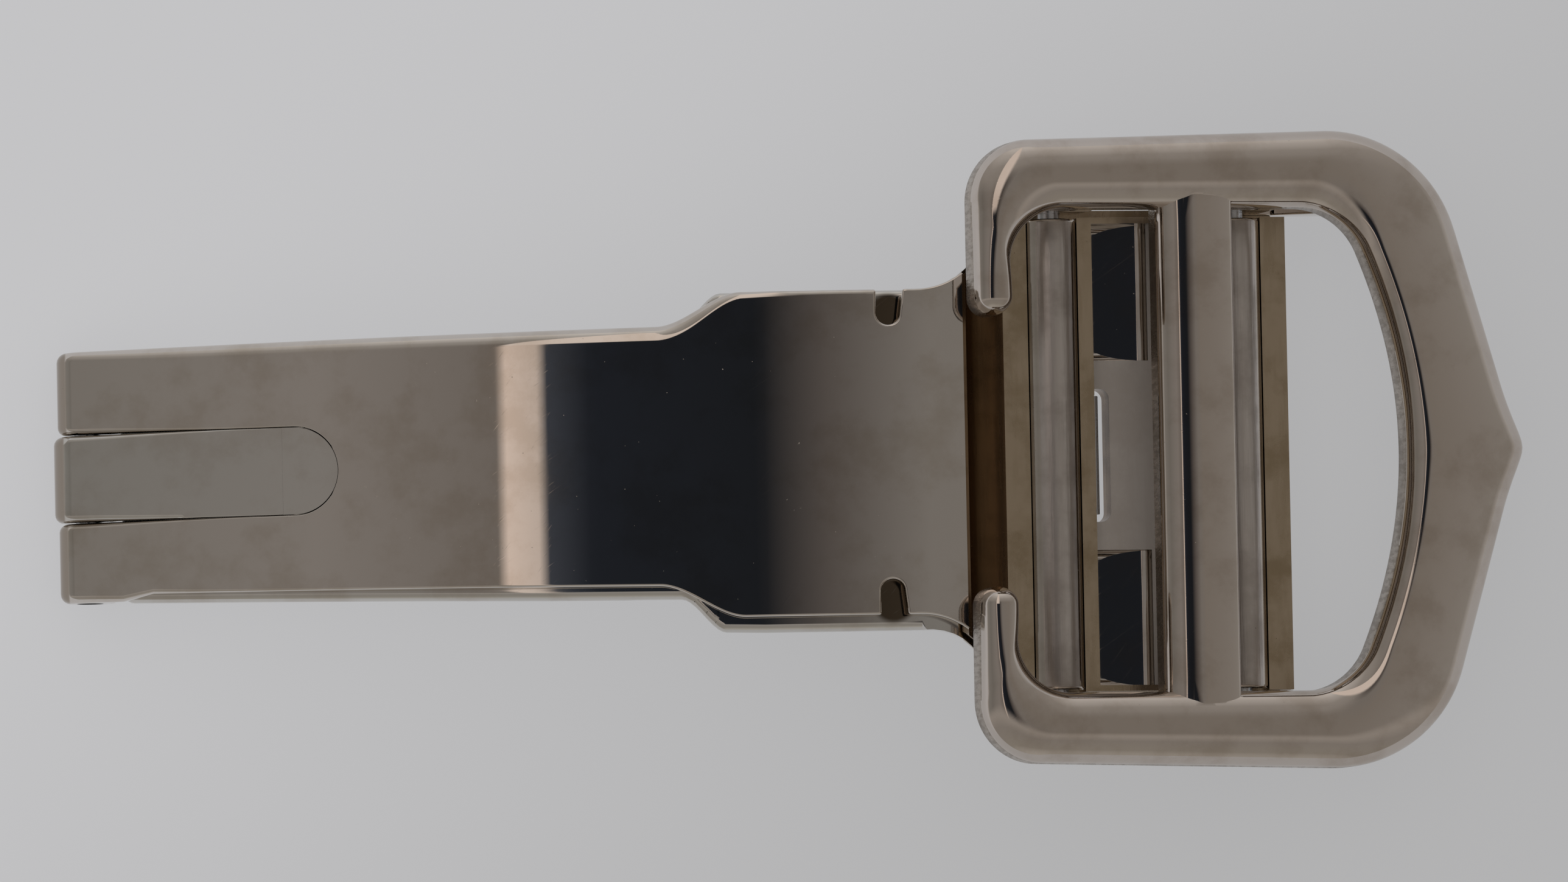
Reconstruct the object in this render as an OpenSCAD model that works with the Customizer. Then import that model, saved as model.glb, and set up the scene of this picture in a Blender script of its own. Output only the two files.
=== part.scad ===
// A folding deployant clasp for a watch strap, closed, with its outer face up.
// X runs from the fold hinge to the point of the buckle frame, Y across the strap, Z outwards.
// The blades follow one arch. The saddle, the bars and the frame share a flat head frame,
// which touches the arch at the middle of the saddle.

/* [Strap and arch] */
// Width of the strap between the frame's arms
strap_w = 16; // [15:0.5:18]
// Side clearance between the saddle and the frame's arms
strap_clear = 0.15; // [0.1:0.05:0.25]
// Radius of the arch at the top of the cover blade
arch_r = 59; // [54:1:66]
// Tilt of the head, where the arch meets the saddle
head_tilt = 14.5; // [13.5:0.25:15.5]

/* [Cover blade] */
// Thickness of the cover blade
cover_t = 0.9; // [0.75:0.05:1.0]
// Width at the hinge
cover_hinge_w = 8.3; // [7.8:0.1:8.7]
// Width where the shoulders start
cover_waist_w = 8.8; // [8.6:0.1:9.4]
// Width past the shoulders
cover_wide_w = 11; // [10.4:0.1:11.6]
// Start of the shoulders, from the crest of the arch
shoulder_start = -1.8; // [-2.4:0.1:-1.4]
// Length of the shoulders
shoulder_l = 2.9; // [2.4:0.1:3.4]
// Start of the flare, from the crest of the arch
flare_start = 7; // [6.9:0.1:7.3]
// Radius of the blade's corners at the hinge
corner_r = 0.35; // [0.2:0.05:0.45]

/* [Side notches] */
// Middle of a notch's round bottom, from the crest of the arch
notch_x = 6.05; // [5.7:0.05:6.1]
// Depth of a notch
notch_depth = 0.95; // [0.7:0.05:1.1]
// Radius of a notch's round bottom
notch_r = 0.4; // [0.3:0.05:0.45]
// How far the sloping wall of a notch runs out
notch_slope = 0.55; // [0.3:0.05:0.6]

/* [Inner blade] */
// Thickness of the inner blade
inner_t = 0.85; // [0.7:0.05:0.95]
// Gap between the closed blades
blade_gap = 0.15; // [0.1:0.01:0.2]
// How far the inner blade's rim stands out past the cover blade
rim = 0.18; // [0.1:0.02:0.24]
// How much shorter each end of the rim's shoulder is than the cover blade's
rim_shoulder_in = 0.7; // [0.3:0.1:0.9]
// Thickness of the inner blade's head
inner_head_t = 0.8; // [0.6:0.05:0.9]
// How far the inner blade's head stands out beside the saddle, before the strap lugs
head_side = 0.35; // [0.2:0.05:0.45]

/* [Fold hinge] */
// Distance of the hinge from the crest of the arch
hinge_reach = 21.2; // [20.6:0.1:21.8]
// Radius of the cover blade's knuckles
knuckle_r = 1; // [0.9:0.05:1.1]
// How much the tongue's knuckle is larger
tongue_proud = 0.14; // [0.04:0.01:0.2]
// Radius of the hinge pin
pin_r = 0.45; // [0.35:0.05:0.5]
// Width of the slot in the cover blade
slot_w = 3; // [2.6:0.1:3.4]
// Length of the slot, from the hinge to its round end
slot_l = 8.6; // [7.6:0.1:9.4]
// Side clearance of the tongue in the slot
tongue_clear = 0.07; // [0.05:0.01:0.12]
// How far the tongue lies below the cover blade at the slot's round end
tongue_sunk = 0.04; // [0:0.01:0.1]
// Clearance of the tongue at the slot's round end, which lets the blades unfold
tongue_end_clear = 0.17; // [0.16:0.01:0.25]
// Running clearance of the pin in the tongue
pin_clear = 0.03; // [0.02:0.005:0.05]

/* [Saddle] */
// Length of the saddle between its outer lips
saddle_l = 9.9; // [9.7:0.1:10.3]
// Thickness of the saddle under the bars' channels
saddle_floor = 0.32; // [0.25:0.01:0.45]
// Depth of the saddle's lips below the tangent of the arch
lip_drop = 0.25; // [0.15:0.05:0.35]
// Thickness of each inner lip beside its bar
inner_lip_w = 0.42; // [0.35:0.01:0.5]
// Distance from the saddle's middle to each bar
bar_x = 3.2; // [3.1:0.05:3.3]
// Depth of the bars' axes below the tangent of the arch
bar_drop = 0.65; // [0.55:0.05:0.75]
// Length of the cove before the front lip
cove_l = 1.37; // [1.2:0.01:1.5]
// Length of the flat between the blade and the cove
cove_flat = 0.1; // [0.05:0.01:0.2]
// Depth of the cove and of the web below the tangent of the arch
web_drop = 0.95; // [0.85:0.05:1.05]
// Thickness of the walls at the ends of the recess
end_wall = 0.2; // [0.15:0.05:0.4]
// Half the width of the web between the pockets
web_half = 3.2; // [3:0.1:3.5]
// Right edge of the pockets, from the saddle's middle
pocket_edge = 0.29; // [0.1:0.01:0.4]
// Depth of the pockets below the tangent of the arch
pocket_drop = 1.65; // [1.45:0.05:1.7]
// Radius at the ends of the pockets' floors
pocket_end_r = 0.5; // [0.3:0.05:0.6]
// Radius at the left edge of the pockets' floors
pocket_left_r = 0.25; // [0.15:0.05:0.4]
// Radius at the right edge of the pockets' floors
pocket_right_r = 0.5; // [0.3:0.05:0.6]
// Width of the cross slot through the saddle
cross_slot_w = 0.68; // [0.64:0.01:0.95]
// Length of the cross slot
cross_slot_l = 4.5; // [4:0.1:5]
// Corner radius of the cross slot
cross_slot_r = 0.35; // [0.2:0.05:0.4]

/* [Bars] */
// Radius of the bar tubes
bar_r = 0.94; // [0.9:0.01:0.98]
// Running clearance round a bar tube in its channel
bar_clear = 0.03; // [0.02:0.01:0.05]
// Wall of a bar tube
bar_wall = 0.34; // [0.28:0.01:0.38]
// Radius of a bar's tips
tip_r = 0.38; // [0.3:0.01:0.42]
// Running clearance of the tips and of their collars
tip_clear = 0.03; // [0.02:0.005:0.05]
// Clearance of a bar tube to the ends of the saddle
bar_end_clear = 0.05; // [0.03:0.01:0.1]
// Length of the closed end of a bar tube
bar_neck_l = 0.45; // [0.35:0.05:0.6]
// Length of the part of a tip that slides in the tube
plunger_l = 3.2; // [2.6:0.1:3.6]
// Radius of a bar spring's wire
wire_r = 0.1; // [0.08:0.01:0.12]
// Turns of a bar spring
spring_turns = 12; // [8:1:16]

/* [Buckle frame] */
// Height of the frame's underside above the tangent of the arch
frame_lift = 1.2; // [1.1:0.05:1.4]
// Thickness of the frame at its crest
frame_t = 1.9; // [1.7:0.05:2.1]
// Height of the frame's upright outer wall
outer_wall_h = 0.85; // [0.6:0.05:1.1]
// Height of the frame's upright inner wall
inner_wall_h = 1.05; // [0.8:0.05:1.3]
// Chamfer of the frame's lower edges
frame_edge = 0.1; // [0.06:0.02:0.16]
// Left edge of the hooks, from the saddle's middle
hook_x = -6.6; // [-6.8:0.05:-6.5]
// Width of the hooks
hook_w = 1.28; // [1.15:0.01:1.4]
// Half the gap between the hooks
hook_gap_half = 4.55; // [4.2:0.05:4.9]
// Outer radius of the frame's corners at the hooks
hook_corner_r = 2.1; // [1.8:0.1:2.4]
// Inner radius of the frame's corners at the hooks
hook_inner_r = 1.87; // [1.6:0.01:2.1]
// Width of the arms at the hooks
arm_w = 2.35; // [2.2:0.05:2.6]
// How much wider each arm is at the point's end
arm_flare = 0.25; // [0.1:0.05:0.4]
// Tip of the point, from the saddle's middle
point_x = 12.5; // [12.2:0.1:12.9]
// Inner edge of the bow, from the saddle's middle
bow_x = 8.35; // [8.25:0.05:8.6]
// Radius of the bow's inner edge
bow_r = 16; // [15:0.2:19]
// Outer corner radius at the bow
bow_corner_r = 4.6; // [3.8:0.05:4.8]
// Inner corner radius at the bow
bow_inner_r = 2.4; // [1.2:0.1:2.8]

/* [Cross bar of the frame] */
// Left face of the cross bar, from the saddle's middle
cross_x = -0.18; // [-0.4:0.01:0]
// Width of the cross bar
cross_w = 2.5; // [2.3:0.05:2.6]
// Height of the cross bar's upright left wall
cross_wall_h = 0.75; // [0.6:0.05:0.9]
// How far the ridge of the cross bar lies below the frame's crest
cross_sunk = 0.06; // [0.03:0.01:0.15]
// How far the sloping left face of the cross bar runs up to its ridge
cross_slope = 1.6; // [1.2:0.05:1.8]
// Height of the cross bar's upright right wall
cross_right_h = 1.45; // [1.2:0.05:1.7]

/* [Ears, lugs and catch] */
// Thickness of the frame's ears and of the strap lugs
ear_t = 1.2; // [1:0.05:1.4]
// Radius of the round end of the ears
ear_r = 1.1; // [0.95:0.05:1.15]
// Length of the fork's prongs past the rear bar's axis
fork_l = 0.75; // [0.5:0.05:0.9]
// Distance from the saddle's middle to the strap lugs' bores
lug_x = 7.4; // [7.2:0.05:7.6]
// Depth of the strap lugs' bores below the tangent of the arch
lug_drop = 1.6; // [1.5:0.05:1.75]
// Radius of the round end of the strap lugs
lug_r = 0.95; // [0.85:0.05:1]
// Radius of the strap lugs' bores
lug_bore_r = 0.45; // [0.4:0.01:0.5]
// Where the strap lugs start, from the saddle's middle
lug_root_x = 1.4; // [1:0.1:2]
// Thickness of the catch spring
leaf_t = 0.24; // [0.2:0.01:0.28]
// Width of the catch spring
leaf_w = 4; // [3.6:0.1:4.1]
// Length of the catch spring under the inner blade
leaf_l = 2.9; // [2.6:0.1:3.2]
// Radius of the bead that snaps into the saddle's groove
bead_r = 0.16; // [0.13:0.01:0.18]
// Depth of the bead below the tangent of the arch
bead_drop = 1.35; // [1.25:0.05:1.45]
// Radius of the rivets' shanks
rivet_r = 0.3; // [0.25:0.01:0.35]
// Distance between the rivets
rivet_pitch = 2.2; // [1.8:0.1:2.4]

/* [Hidden] */

// Colours of the metal: polished, tarnished and spring steel
polished = [0.72, 0.70, 0.67];
tarnished = [0.60, 0.53, 0.43];
spring_steel = [0.55, 0.56, 0.58];

// Smoothness of small rounds, of the arch and of the swept frame
$fn = 64;
arch_fn = 240;
arc_steps = 10;
over = 0.2;
far = 40;

// Radii of the arch, from the crest of the cover blade inwards
cover_under_r = arch_r - cover_t;
inner_top_r = cover_under_r - blade_gap;
inner_under_r = inner_top_r - inner_t;

// The hinge lies under the arch by the knuckle's radius
hinge_arm_r = arch_r - knuckle_r;
hinge_z = sqrt(hinge_arm_r * hinge_arm_r - hinge_reach * hinge_reach);
tongue_r = knuckle_r + tongue_proud;
tongue_half = slot_w / 2 - tongue_clear;
hinge_half = cover_hinge_w / 2 + rim;
tongue_ramp = atan((tongue_proud + tongue_sunk) / slot_l);
slot_end_x = -hinge_reach + slot_l;
slot_tilt = asin(slot_end_x / arch_r);

// The head frame and what is measured in it
head_half = strap_w / 2;
arm_in_y = head_half + strap_clear;
saddle_half = saddle_l / 2;
channel_r = bar_r + bar_clear;
recess_half = bar_x - channel_r - inner_lip_w;
recess_end = head_half - end_wall;
cove_start = -saddle_half - cove_l;
cove_top = arch_r - sqrt(arch_r * arch_r - cove_start * cove_start);
cove_depth = web_drop - cove_top;
cove_run = cove_l - cove_flat;
cove_r = (cove_run * cove_run + cove_depth * cove_depth) / (2 * cove_depth);
pocket_low = [-recess_half + pocket_left_r, -pocket_drop + pocket_left_r];
pocket_right_x = pocket_edge - pocket_right_r;
pocket_rise = (pocket_right_x - pocket_low[0] + (pocket_right_r - pocket_left_r) * sin(head_tilt))
    * tan(head_tilt);
pocket_high = [pocket_right_x, pocket_low[1] + pocket_rise + (pocket_right_r - pocket_left_r) * cos(head_tilt)];
saddle_under = bar_drop + channel_r + saddle_floor;
inner_head_top = saddle_under + blade_gap;
inner_head_under = inner_head_top + inner_head_t;
web_in = 0.02;

// The catch's post stands beside the slot's left wall, and its bead reaches into the groove
post_x = -recess_half + tip_clear;
post_drop = 0.9;
bead_x = post_x + bead_r * 0.35;
rivet_x = post_x - leaf_l * 0.55;

// The frame's swept outline
frame_top = frame_lift + frame_t;
arm_out_y = arm_in_y + arm_w;
arm_end_y = arm_out_y + arm_flare;
hook_tip_r = hook_w / 2;
leg_slope = 0.29;
point_bump = 0.28;
point_bump_l = 2.2;
point_soft = 0.35;
leg_angle = atan(leg_slope);
bow_corner_y = arm_end_y - bow_corner_r;
leg_top_y = bow_corner_y + bow_corner_r * sin(leg_angle);
bow_corner_x = leg_x(leg_top_y) - bow_corner_r * cos(leg_angle);
bow_in_y = arm_in_y - bow_inner_r;
bow_in_angle = atan(bow_in_y / bow_r);
bow_top_y = bow_in_y + bow_inner_r * sin(bow_in_angle);
bow_in_x = bow_edge(bow_top_y) - bow_inner_r * cos(bow_in_angle);
hook_out_x = hook_x + hook_corner_r;
hook_out_y = arm_out_y - hook_corner_r;
hook_in_x = hook_x + hook_w + hook_inner_r;
hook_in_y = arm_in_y - hook_inner_r;

// Where the widest share of the frame's dome lies, counted from its outer edge
crest_hook = 0.62;
crest_arm = 0.52;
crest_bow = 0.8;

// Lengths inside the bars
bar_half = head_half - bar_end_clear;
collar_r = bar_r - bar_wall - tip_clear;
collar_out = bar_half - bar_neck_l;
plunger_in = collar_out - plunger_l;
tip_end = arm_in_y + 0.8 * ear_t;
coil_r = collar_r - wire_r - tip_clear;
spring_half = plunger_in - wire_r;
spring_sides = 5;
spring_steps = 12;

// Place of the whole clasp: the middle of its length is at X = 0, and its lowest point at Z = 0
lug_low = (arch_r - lug_drop) * cos(head_tilt) - lug_x * sin(head_tilt) - lug_r;
tongue_low = hinge_z - tongue_r;
clasp_left = -hinge_reach - tongue_r;
clasp_right = (arch_r + frame_lift + outer_wall_h) * sin(head_tilt) + point_x * cos(head_tilt);
arch_x = -(clasp_left + clasp_right) / 2;
arch_z = -min(lug_low, tongue_low);

function lerp(a, b, t) = a + (b - a) * t;
function smooth(t) = t * t * (3 - 2 * t);

// Points of a circular arc
function arc(c, r, from, to, n = arc_steps) =
    [for (i = [0:n]) let(a = lerp(from, to, i / n)) c + r * [cos(a), sin(a)]];

// Outer edge of the point's legs: straight, drawn out into a soft point
function leg_x(y) = let(e = sqrt(y * y + point_soft * point_soft))
    point_x - 0.09 - leg_slope * e
    + point_bump * pow(1 - min(e, point_bump_l) / point_bump_l, 2);

// Inner edge of the bow
function bow_edge(y) = bow_x - y * y / (2 * bow_r);

// Moves the children into the frame of the arch, whose crest is above its centre
module at_arch() translate([arch_x, 0, arch_z]) children();

// Moves the children into the head frame, whose Z = 0 touches the arch
module at_head() at_arch() rotate([0, head_tilt, 0]) translate([0, 0, arch_r]) children();

// Extrudes a profile drawn in X and Z from one Y to another
module across(from, to) translate([0, to, 0]) rotate([90, 0, 0]) linear_extrude(to - from) children();

// A round bar or hole along Y
module y_bar(r, from, to) translate([0, to, 0]) rotate([90, 0, 0]) cylinder(r = r, h = to - from);

// A shell of the arch between two radii
module arch_shell(outer, inner) across(-far, far) difference() {
    circle(outer, $fn = arch_fn);
    circle(inner, $fn = arch_fn);
}

// Half of a blade's outline, above Y = 0, from the hinge end to the head
function blade_edge(start, hinge_h, waist_h, wide_h, s0, s1) = concat(
    arc([start + corner_r, hinge_h - corner_r], corner_r, 180, 90, 5),
    [for (i = [0:arc_steps]) let(t = i / arc_steps)
        [lerp(s0, s1, t), lerp(waist_h, wide_h, smooth(t))]],
    arc([flare_start, head_half], head_half - wide_h, 270, 360)
);

// A blade's outline, mirrored about the X axis and closed at its right end
module blade_outline(start, hinge_h, waist_h, wide_h, s0, s1, end) {
    edge = concat(blade_edge(start, hinge_h, waist_h, wide_h, s0, s1), [[end, head_half]]);
    polygon(concat(edge, [for (i = [len(edge) - 1:-1:0]) [edge[i][0], -edge[i][1]]]));
}

module cover_outline(start) blade_outline(start, cover_hinge_w / 2, cover_waist_w / 2,
    cover_wide_w / 2, shoulder_start, shoulder_start + shoulder_l, far);

module inner_outline(start) blade_outline(start, cover_hinge_w / 2 + rim,
    cover_waist_w / 2 + rim, cover_wide_w / 2 + rim,
    shoulder_start + rim_shoulder_in, shoulder_start + shoulder_l - rim_shoulder_in, far);

// One side notch: a round bottom, an upright left wall and a sloping right wall
module notch_shape() {
    bottom = cover_wide_w / 2 - notch_depth + notch_r;
    translate([notch_x, bottom]) circle(notch_r);
    polygon([[notch_x - notch_r, bottom], [notch_x + notch_r, bottom],
        [notch_x + notch_r + notch_slope, head_half], [notch_x - notch_r, head_half]]);
}

// The slot's space, cut at right angles to the blade at its round end, or the tongue's space within it
module slot_space(clear, end_clear) translate([slot_end_x, 0, arch_r * cos(slot_tilt)])
    rotate([0, slot_tilt, 0]) translate([0, 0, -knuckle_r * 4]) linear_extrude(far) {
        translate([-slot_w / 2 - end_clear, 0]) circle(slot_w / 2 - clear);
        translate([-far, -slot_w / 2 + clear]) square([far - slot_w / 2 - end_clear, slot_w - clear * 2]);
    }

module cover_blade() color(polished) difference() {
    union() {
        intersection() {
            at_arch() arch_shell(arch_r, cover_under_r);
            at_arch() linear_extrude(far * 2) cover_outline(-hinge_reach);
            at_head() translate([cove_start - far * 2, -far, -far]) cube([far * 2, far * 2, far * 2]);
        }
        intersection() {
            at_arch() translate([-hinge_reach, 0, hinge_z]) y_bar(knuckle_r, -hinge_half, hinge_half);
            at_arch() linear_extrude(far * 2) inner_outline(-hinge_reach - knuckle_r);
        }
    }
    at_arch() slot_space(0, 0);
    at_arch() linear_extrude(far * 2) for (side = [0, 1]) mirror([0, side]) notch_shape();
    at_arch() translate([-hinge_reach, 0, hinge_z]) y_bar(pin_r, -far, far);
}

// Outline of the saddle in X and Z: the cove before the front lip, and the bars' channels,
// whose lips close over the bars far enough to hold them
module saddle_profile() difference() {
    polygon([[cove_start, -cove_top], [-saddle_half, -cove_top], [-saddle_half, -lip_drop],
        [saddle_half, -lip_drop], [saddle_half, -saddle_under],
        [cove_start + cove_l * 0.75, -saddle_under],
        [cove_start, sqrt(pow(cover_under_r, 2) - pow(cove_start, 2)) - arch_r]]);
    translate([-saddle_half, cove_r - web_drop]) intersection() {
        circle(cove_r, $fn = 128);
        translate([-far, -far]) square([far, far * 2]);
    }
    for (x = [-bar_x, bar_x]) translate([x, -bar_drop]) circle(channel_r);
}

// One pocket: its floor rises to the right, level with the crest of the arch, and is rounded up on all sides
module pocket() intersection() {
    across(web_half, recess_end) polygon(concat(arc(pocket_low, pocket_left_r, 180, 270 + head_tilt),
        arc(pocket_high, pocket_right_r, 270 + head_tilt, 360),
        [[pocket_edge, 0], [-recess_half, 0]]));
    rotate([90, 0, 90]) linear_extrude(far, center = true) {
        translate([web_half, -pocket_drop + pocket_end_r])
            square([recess_end - web_half, far]);
        translate([web_half + pocket_end_r, -pocket_drop - over])
            square([recess_end - web_half - pocket_end_r * 2, far]);
        for (y = [web_half + pocket_end_r, recess_end - pocket_end_r])
            translate([y, -pocket_drop + pocket_end_r]) circle(pocket_end_r);
    }
}

// The cross slot, square at the front lip and round at its right corners
module cross_slot_shape() {
    right = -recess_half + cross_slot_w;
    half = cross_slot_l / 2;
    translate([-recess_half, -half]) square([cross_slot_w - cross_slot_r, cross_slot_l]);
    translate([-recess_half, -half + cross_slot_r])
        square([cross_slot_w, cross_slot_l - cross_slot_r * 2]);
    for (y = [-1, 1]) translate([right - cross_slot_r, y * (half - cross_slot_r)]) circle(cross_slot_r);
}

module saddle_block() color(tarnished) difference() {
    intersection() {
        at_head() across(-head_half, head_half) saddle_profile();
        at_arch() linear_extrude(far * 2) cover_outline(0);
    }
    at_head() {
        translate([-recess_half, -recess_end, -web_drop])
            cube([recess_half * 2, recess_end * 2, web_drop]);
        for (side = [0, 1]) mirror([0, side, 0]) pocket();
        translate([0, 0, -saddle_under - over]) linear_extrude(saddle_under) cross_slot_shape();
        translate([bead_x, 0, -bead_drop])
            y_bar(bead_r + tip_clear, -leaf_w / 2 - tip_clear, leaf_w / 2 + tip_clear);
    }
}

// The tongue: the middle knuckle, and the pad that fills the slot of the closed cover blade
module tongue() {
    translate([-hinge_reach, 0, hinge_z]) y_bar(tongue_r, -tongue_half, tongue_half);
    intersection() {
        translate([-hinge_reach, 0, hinge_z]) rotate([0, tongue_ramp, 0])
            translate([hinge_reach, 0, -hinge_z])
                y_bar(arch_r + tongue_proud, -tongue_half, tongue_half, $fn = arch_fn);
        arch_shell(far * 2, inner_under_r);
        slot_space(tongue_clear, tongue_end_clear);
        translate([-hinge_reach, -far, 0]) cube([slot_l, far * 2, far * 2]);
    }
}

// Profile of the inner blade's head, which steps down to clear the saddle
module inner_head_profile() {
    join = cove_start - 1;
    step = cove_start + cove_l * 0.65;
    polygon([[join, sqrt(pow(inner_top_r, 2) - join * join) - arch_r],
        [cove_start - 0.1, sqrt(pow(inner_top_r, 2) - pow(cove_start - 0.1, 2)) - arch_r],
        [step, -inner_head_top], [saddle_half, -inner_head_top],
        [saddle_half, -inner_head_under], [step, -inner_head_under],
        [join, sqrt(pow(inner_under_r, 2) - join * join) - arch_r]]);
}

module inner_blade() color(polished) difference() {
    union() {
        intersection() {
            at_arch() arch_shell(inner_top_r, inner_under_r);
            at_arch() linear_extrude(far * 2) inner_outline(-hinge_reach + knuckle_r + blade_gap);
            at_head() translate([cove_start - 0.5 - far * 2, -far, -far])
                cube([far * 2, far * 2, far * 2]);
        }
        intersection() {
            at_head() across(-arm_in_y, arm_in_y) inner_head_profile();
            at_arch() linear_extrude(far * 2) union() {
                inner_outline(0);
                translate([arch_r * sin(head_tilt), -arm_in_y]) square([far, arm_in_y * 2]);
            }
        }
        at_head() intersection() {
            across(-head_half - head_side, head_half + head_side) inner_head_profile();
            translate([-saddle_half, -far, -far]) cube([saddle_half + lug_root_x, far * 2, far * 2]);
        }
        at_arch() tongue();
    }
    at_arch() translate([-hinge_reach, 0, hinge_z]) y_bar(pin_r + pin_clear, -far, far);
    at_head() translate([-recess_half - over, -cross_slot_l / 2 - over, -inner_head_under - over])
        cube([cross_slot_w + over + (inner_head_under - web_drop) * tan(head_tilt),
            cross_slot_l + over * 2, inner_head_t + over * 2]);
    at_head() rivet_places() cylinder(r = rivet_r, h = saddle_under * 2, center = true);
}

module fold_hinge_pin() color(spring_steel) at_arch()
    translate([-hinge_reach, 0, hinge_z]) y_bar(pin_r, -hinge_half, hinge_half);

// Where a line from a place touches a circle, on the side given as 1 or -1
function touch(c, r, p, side) = let(d = p - c, a = atan2(d[1], d[0]) + side * acos(r / norm(d)))
    c + r * [cos(a), sin(a)];

// One strap lug, on the side of positive Y
module strap_lug() at_head() difference() {
    eye = [lug_x, -lug_drop];
    shoulder = [saddle_half, -inner_head_top];
    heel = [saddle_half - 1, -inner_head_under];
    union() {
        translate([lug_x, 0, -lug_drop]) y_bar(lug_r, arm_in_y, arm_in_y + ear_t);
        across(arm_in_y, arm_in_y + ear_t) polygon([[lug_root_x, -inner_head_top], shoulder,
            touch(eye, lug_r - web_in, shoulder, -1), touch(eye, lug_r - web_in, heel, 1),
            heel, [lug_root_x, -inner_head_under]]);
    }
    translate([lug_x, 0, -lug_drop]) y_bar(lug_bore_r, 0, far);
}

module strap_lug_left() color(polished) strap_lug();
module strap_lug_right() color(polished) mirror([0, 1, 0]) strap_lug();

// Places of the two rivets under the inner blade's head
module rivet_places() for (side = [-1, 1])
    translate([rivet_x, side * rivet_pitch / 2, -inner_head_under]) children();

// The catch spring lies under the inner blade's head and turns up through the cross slot
module catch_spring() color(spring_steel) at_head() difference() {
    low = -inner_head_under - leaf_t;
    bend = leaf_t * 2;
    across(-leaf_w / 2, leaf_w / 2) {
        translate([post_x - leaf_l, low]) square([leaf_l + leaf_t - bend, leaf_t]);
        translate([post_x, low + bend]) square([leaf_t, -post_drop - low - bend]);
        translate([post_x + leaf_t - bend, low + bend]) intersection() {
            difference() {
                circle(bend);
                circle(bend - leaf_t);
            }
            translate([0, -bend]) square([bend, bend]);
        }
        translate([post_x + leaf_t / 2, -post_drop]) circle(leaf_t / 2);
        translate([bead_x, -bead_drop]) circle(bead_r);
    }
    rivet_places() cylinder(r = rivet_r, h = leaf_t * 4, center = true);
}

module catch_rivets() color(spring_steel) at_head() rivet_places() {
    cylinder(r = rivet_r, h = inner_head_t);
    translate([0, 0, -leaf_t]) cylinder(r = rivet_r, h = leaf_t);
    translate([0, 0, -leaf_t * 2]) cylinder(r = rivet_r * 1.7, h = leaf_t);
}

// Stations round the upper half of the frame, from the point to a hook:
// each holds an outer place, an inner place, the share where the dome is highest, and its height
leg_steps = 16;
arm_steps = 8;
function frame_stations() = concat(
    [for (i = [0:leg_steps]) let(t = i / leg_steps, yo = t * leg_top_y, yi = t * bow_top_y)
        [[leg_x(yo), yo], [bow_edge(yi), yi], crest_bow, 1]],
    [for (i = [1:arc_steps]) let(t = i / arc_steps, a = lerp(leg_angle, 90, t),
            b = lerp(bow_in_angle, 90, t))
        [[bow_corner_x, bow_corner_y] + bow_corner_r * [cos(a), sin(a)],
            [bow_in_x, bow_in_y] + bow_inner_r * [cos(b), sin(b)],
            lerp(crest_bow, crest_arm, t), 1]],
    [for (i = [1:arm_steps - 1]) let(t = i / arm_steps)
        [[lerp(bow_corner_x, hook_out_x, t), lerp(arm_end_y, arm_out_y, t)],
            [lerp(bow_in_x, hook_in_x, t), arm_in_y], crest_arm, 1]],
    [for (i = [0:arc_steps]) let(t = i / arc_steps, a = lerp(90, 180, t))
        [[hook_out_x, hook_out_y] + hook_corner_r * [cos(a), sin(a)],
            [hook_in_x, hook_in_y] + hook_inner_r * [cos(a), sin(a)],
            lerp(crest_arm, crest_hook, t), 1]],
    [for (i = [1:3]) let(t = i / 4)
        [[hook_x, lerp(hook_out_y, hook_gap_half + hook_tip_r, t)],
            [hook_x + hook_w, lerp(hook_in_y, hook_gap_half + hook_tip_r, t)], crest_hook, 1]],
    [for (i = [0:6]) let(a = 13 * i, y = hook_gap_half + hook_tip_r * (1 - sin(a)))
        [[hook_x + hook_tip_r * (1 - cos(a)), y],
            [hook_x + hook_w - hook_tip_r * (1 - cos(a)), y], crest_hook, 0.5 + 0.5 * cos(a)]]
);

// The frame's section at one station: upright walls and a dome of two quarter ellipses
dome_steps = 8;
function frame_section(s) = let(o = s[0], n = s[1] - s[0], c = s[2], h = s[3],
        e = min(frame_edge / norm(n), 0.3),
        dome = concat(
            [for (i = [0:dome_steps]) let(a = 90 * i / dome_steps)
                [c * (1 - cos(a)), outer_wall_h + (frame_t - outer_wall_h) * sin(a)]],
            [for (i = [1:dome_steps]) let(a = 90 * i / dome_steps)
                [c + (1 - c) * sin(a), inner_wall_h + (frame_t - inner_wall_h) * cos(a)]]),
        flat = concat([[e, 0], [0, frame_edge]], dome, [[1, frame_edge], [1 - e, 0]]))
    [for (p = flat) [o[0] + n[0] * p[0], o[1] + n[1] * p[0], frame_lift + p[1] * h]];

// A closed solid through sections of equal counts, capped at both ends
module swept(sections) {
    m = len(sections[0]);
    n = len(sections);
    points = [for (s = sections) each s];
    sides = [for (i = [0:n - 2], j = [0:m - 1]) let(k = (j + 1) % m)
        each [[i * m + j, (i + 1) * m + j, i * m + k], [i * m + k, (i + 1) * m + j, (i + 1) * m + k]]];
    start = [for (j = [1:m - 2]) [0, j, j + 1]];
    end = [for (j = [1:m - 2]) [(n - 1) * m, (n - 1) * m + j + 1, (n - 1) * m + j]];
    polyhedron(points, concat(sides, start, end), convexity = 6);
}

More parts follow.
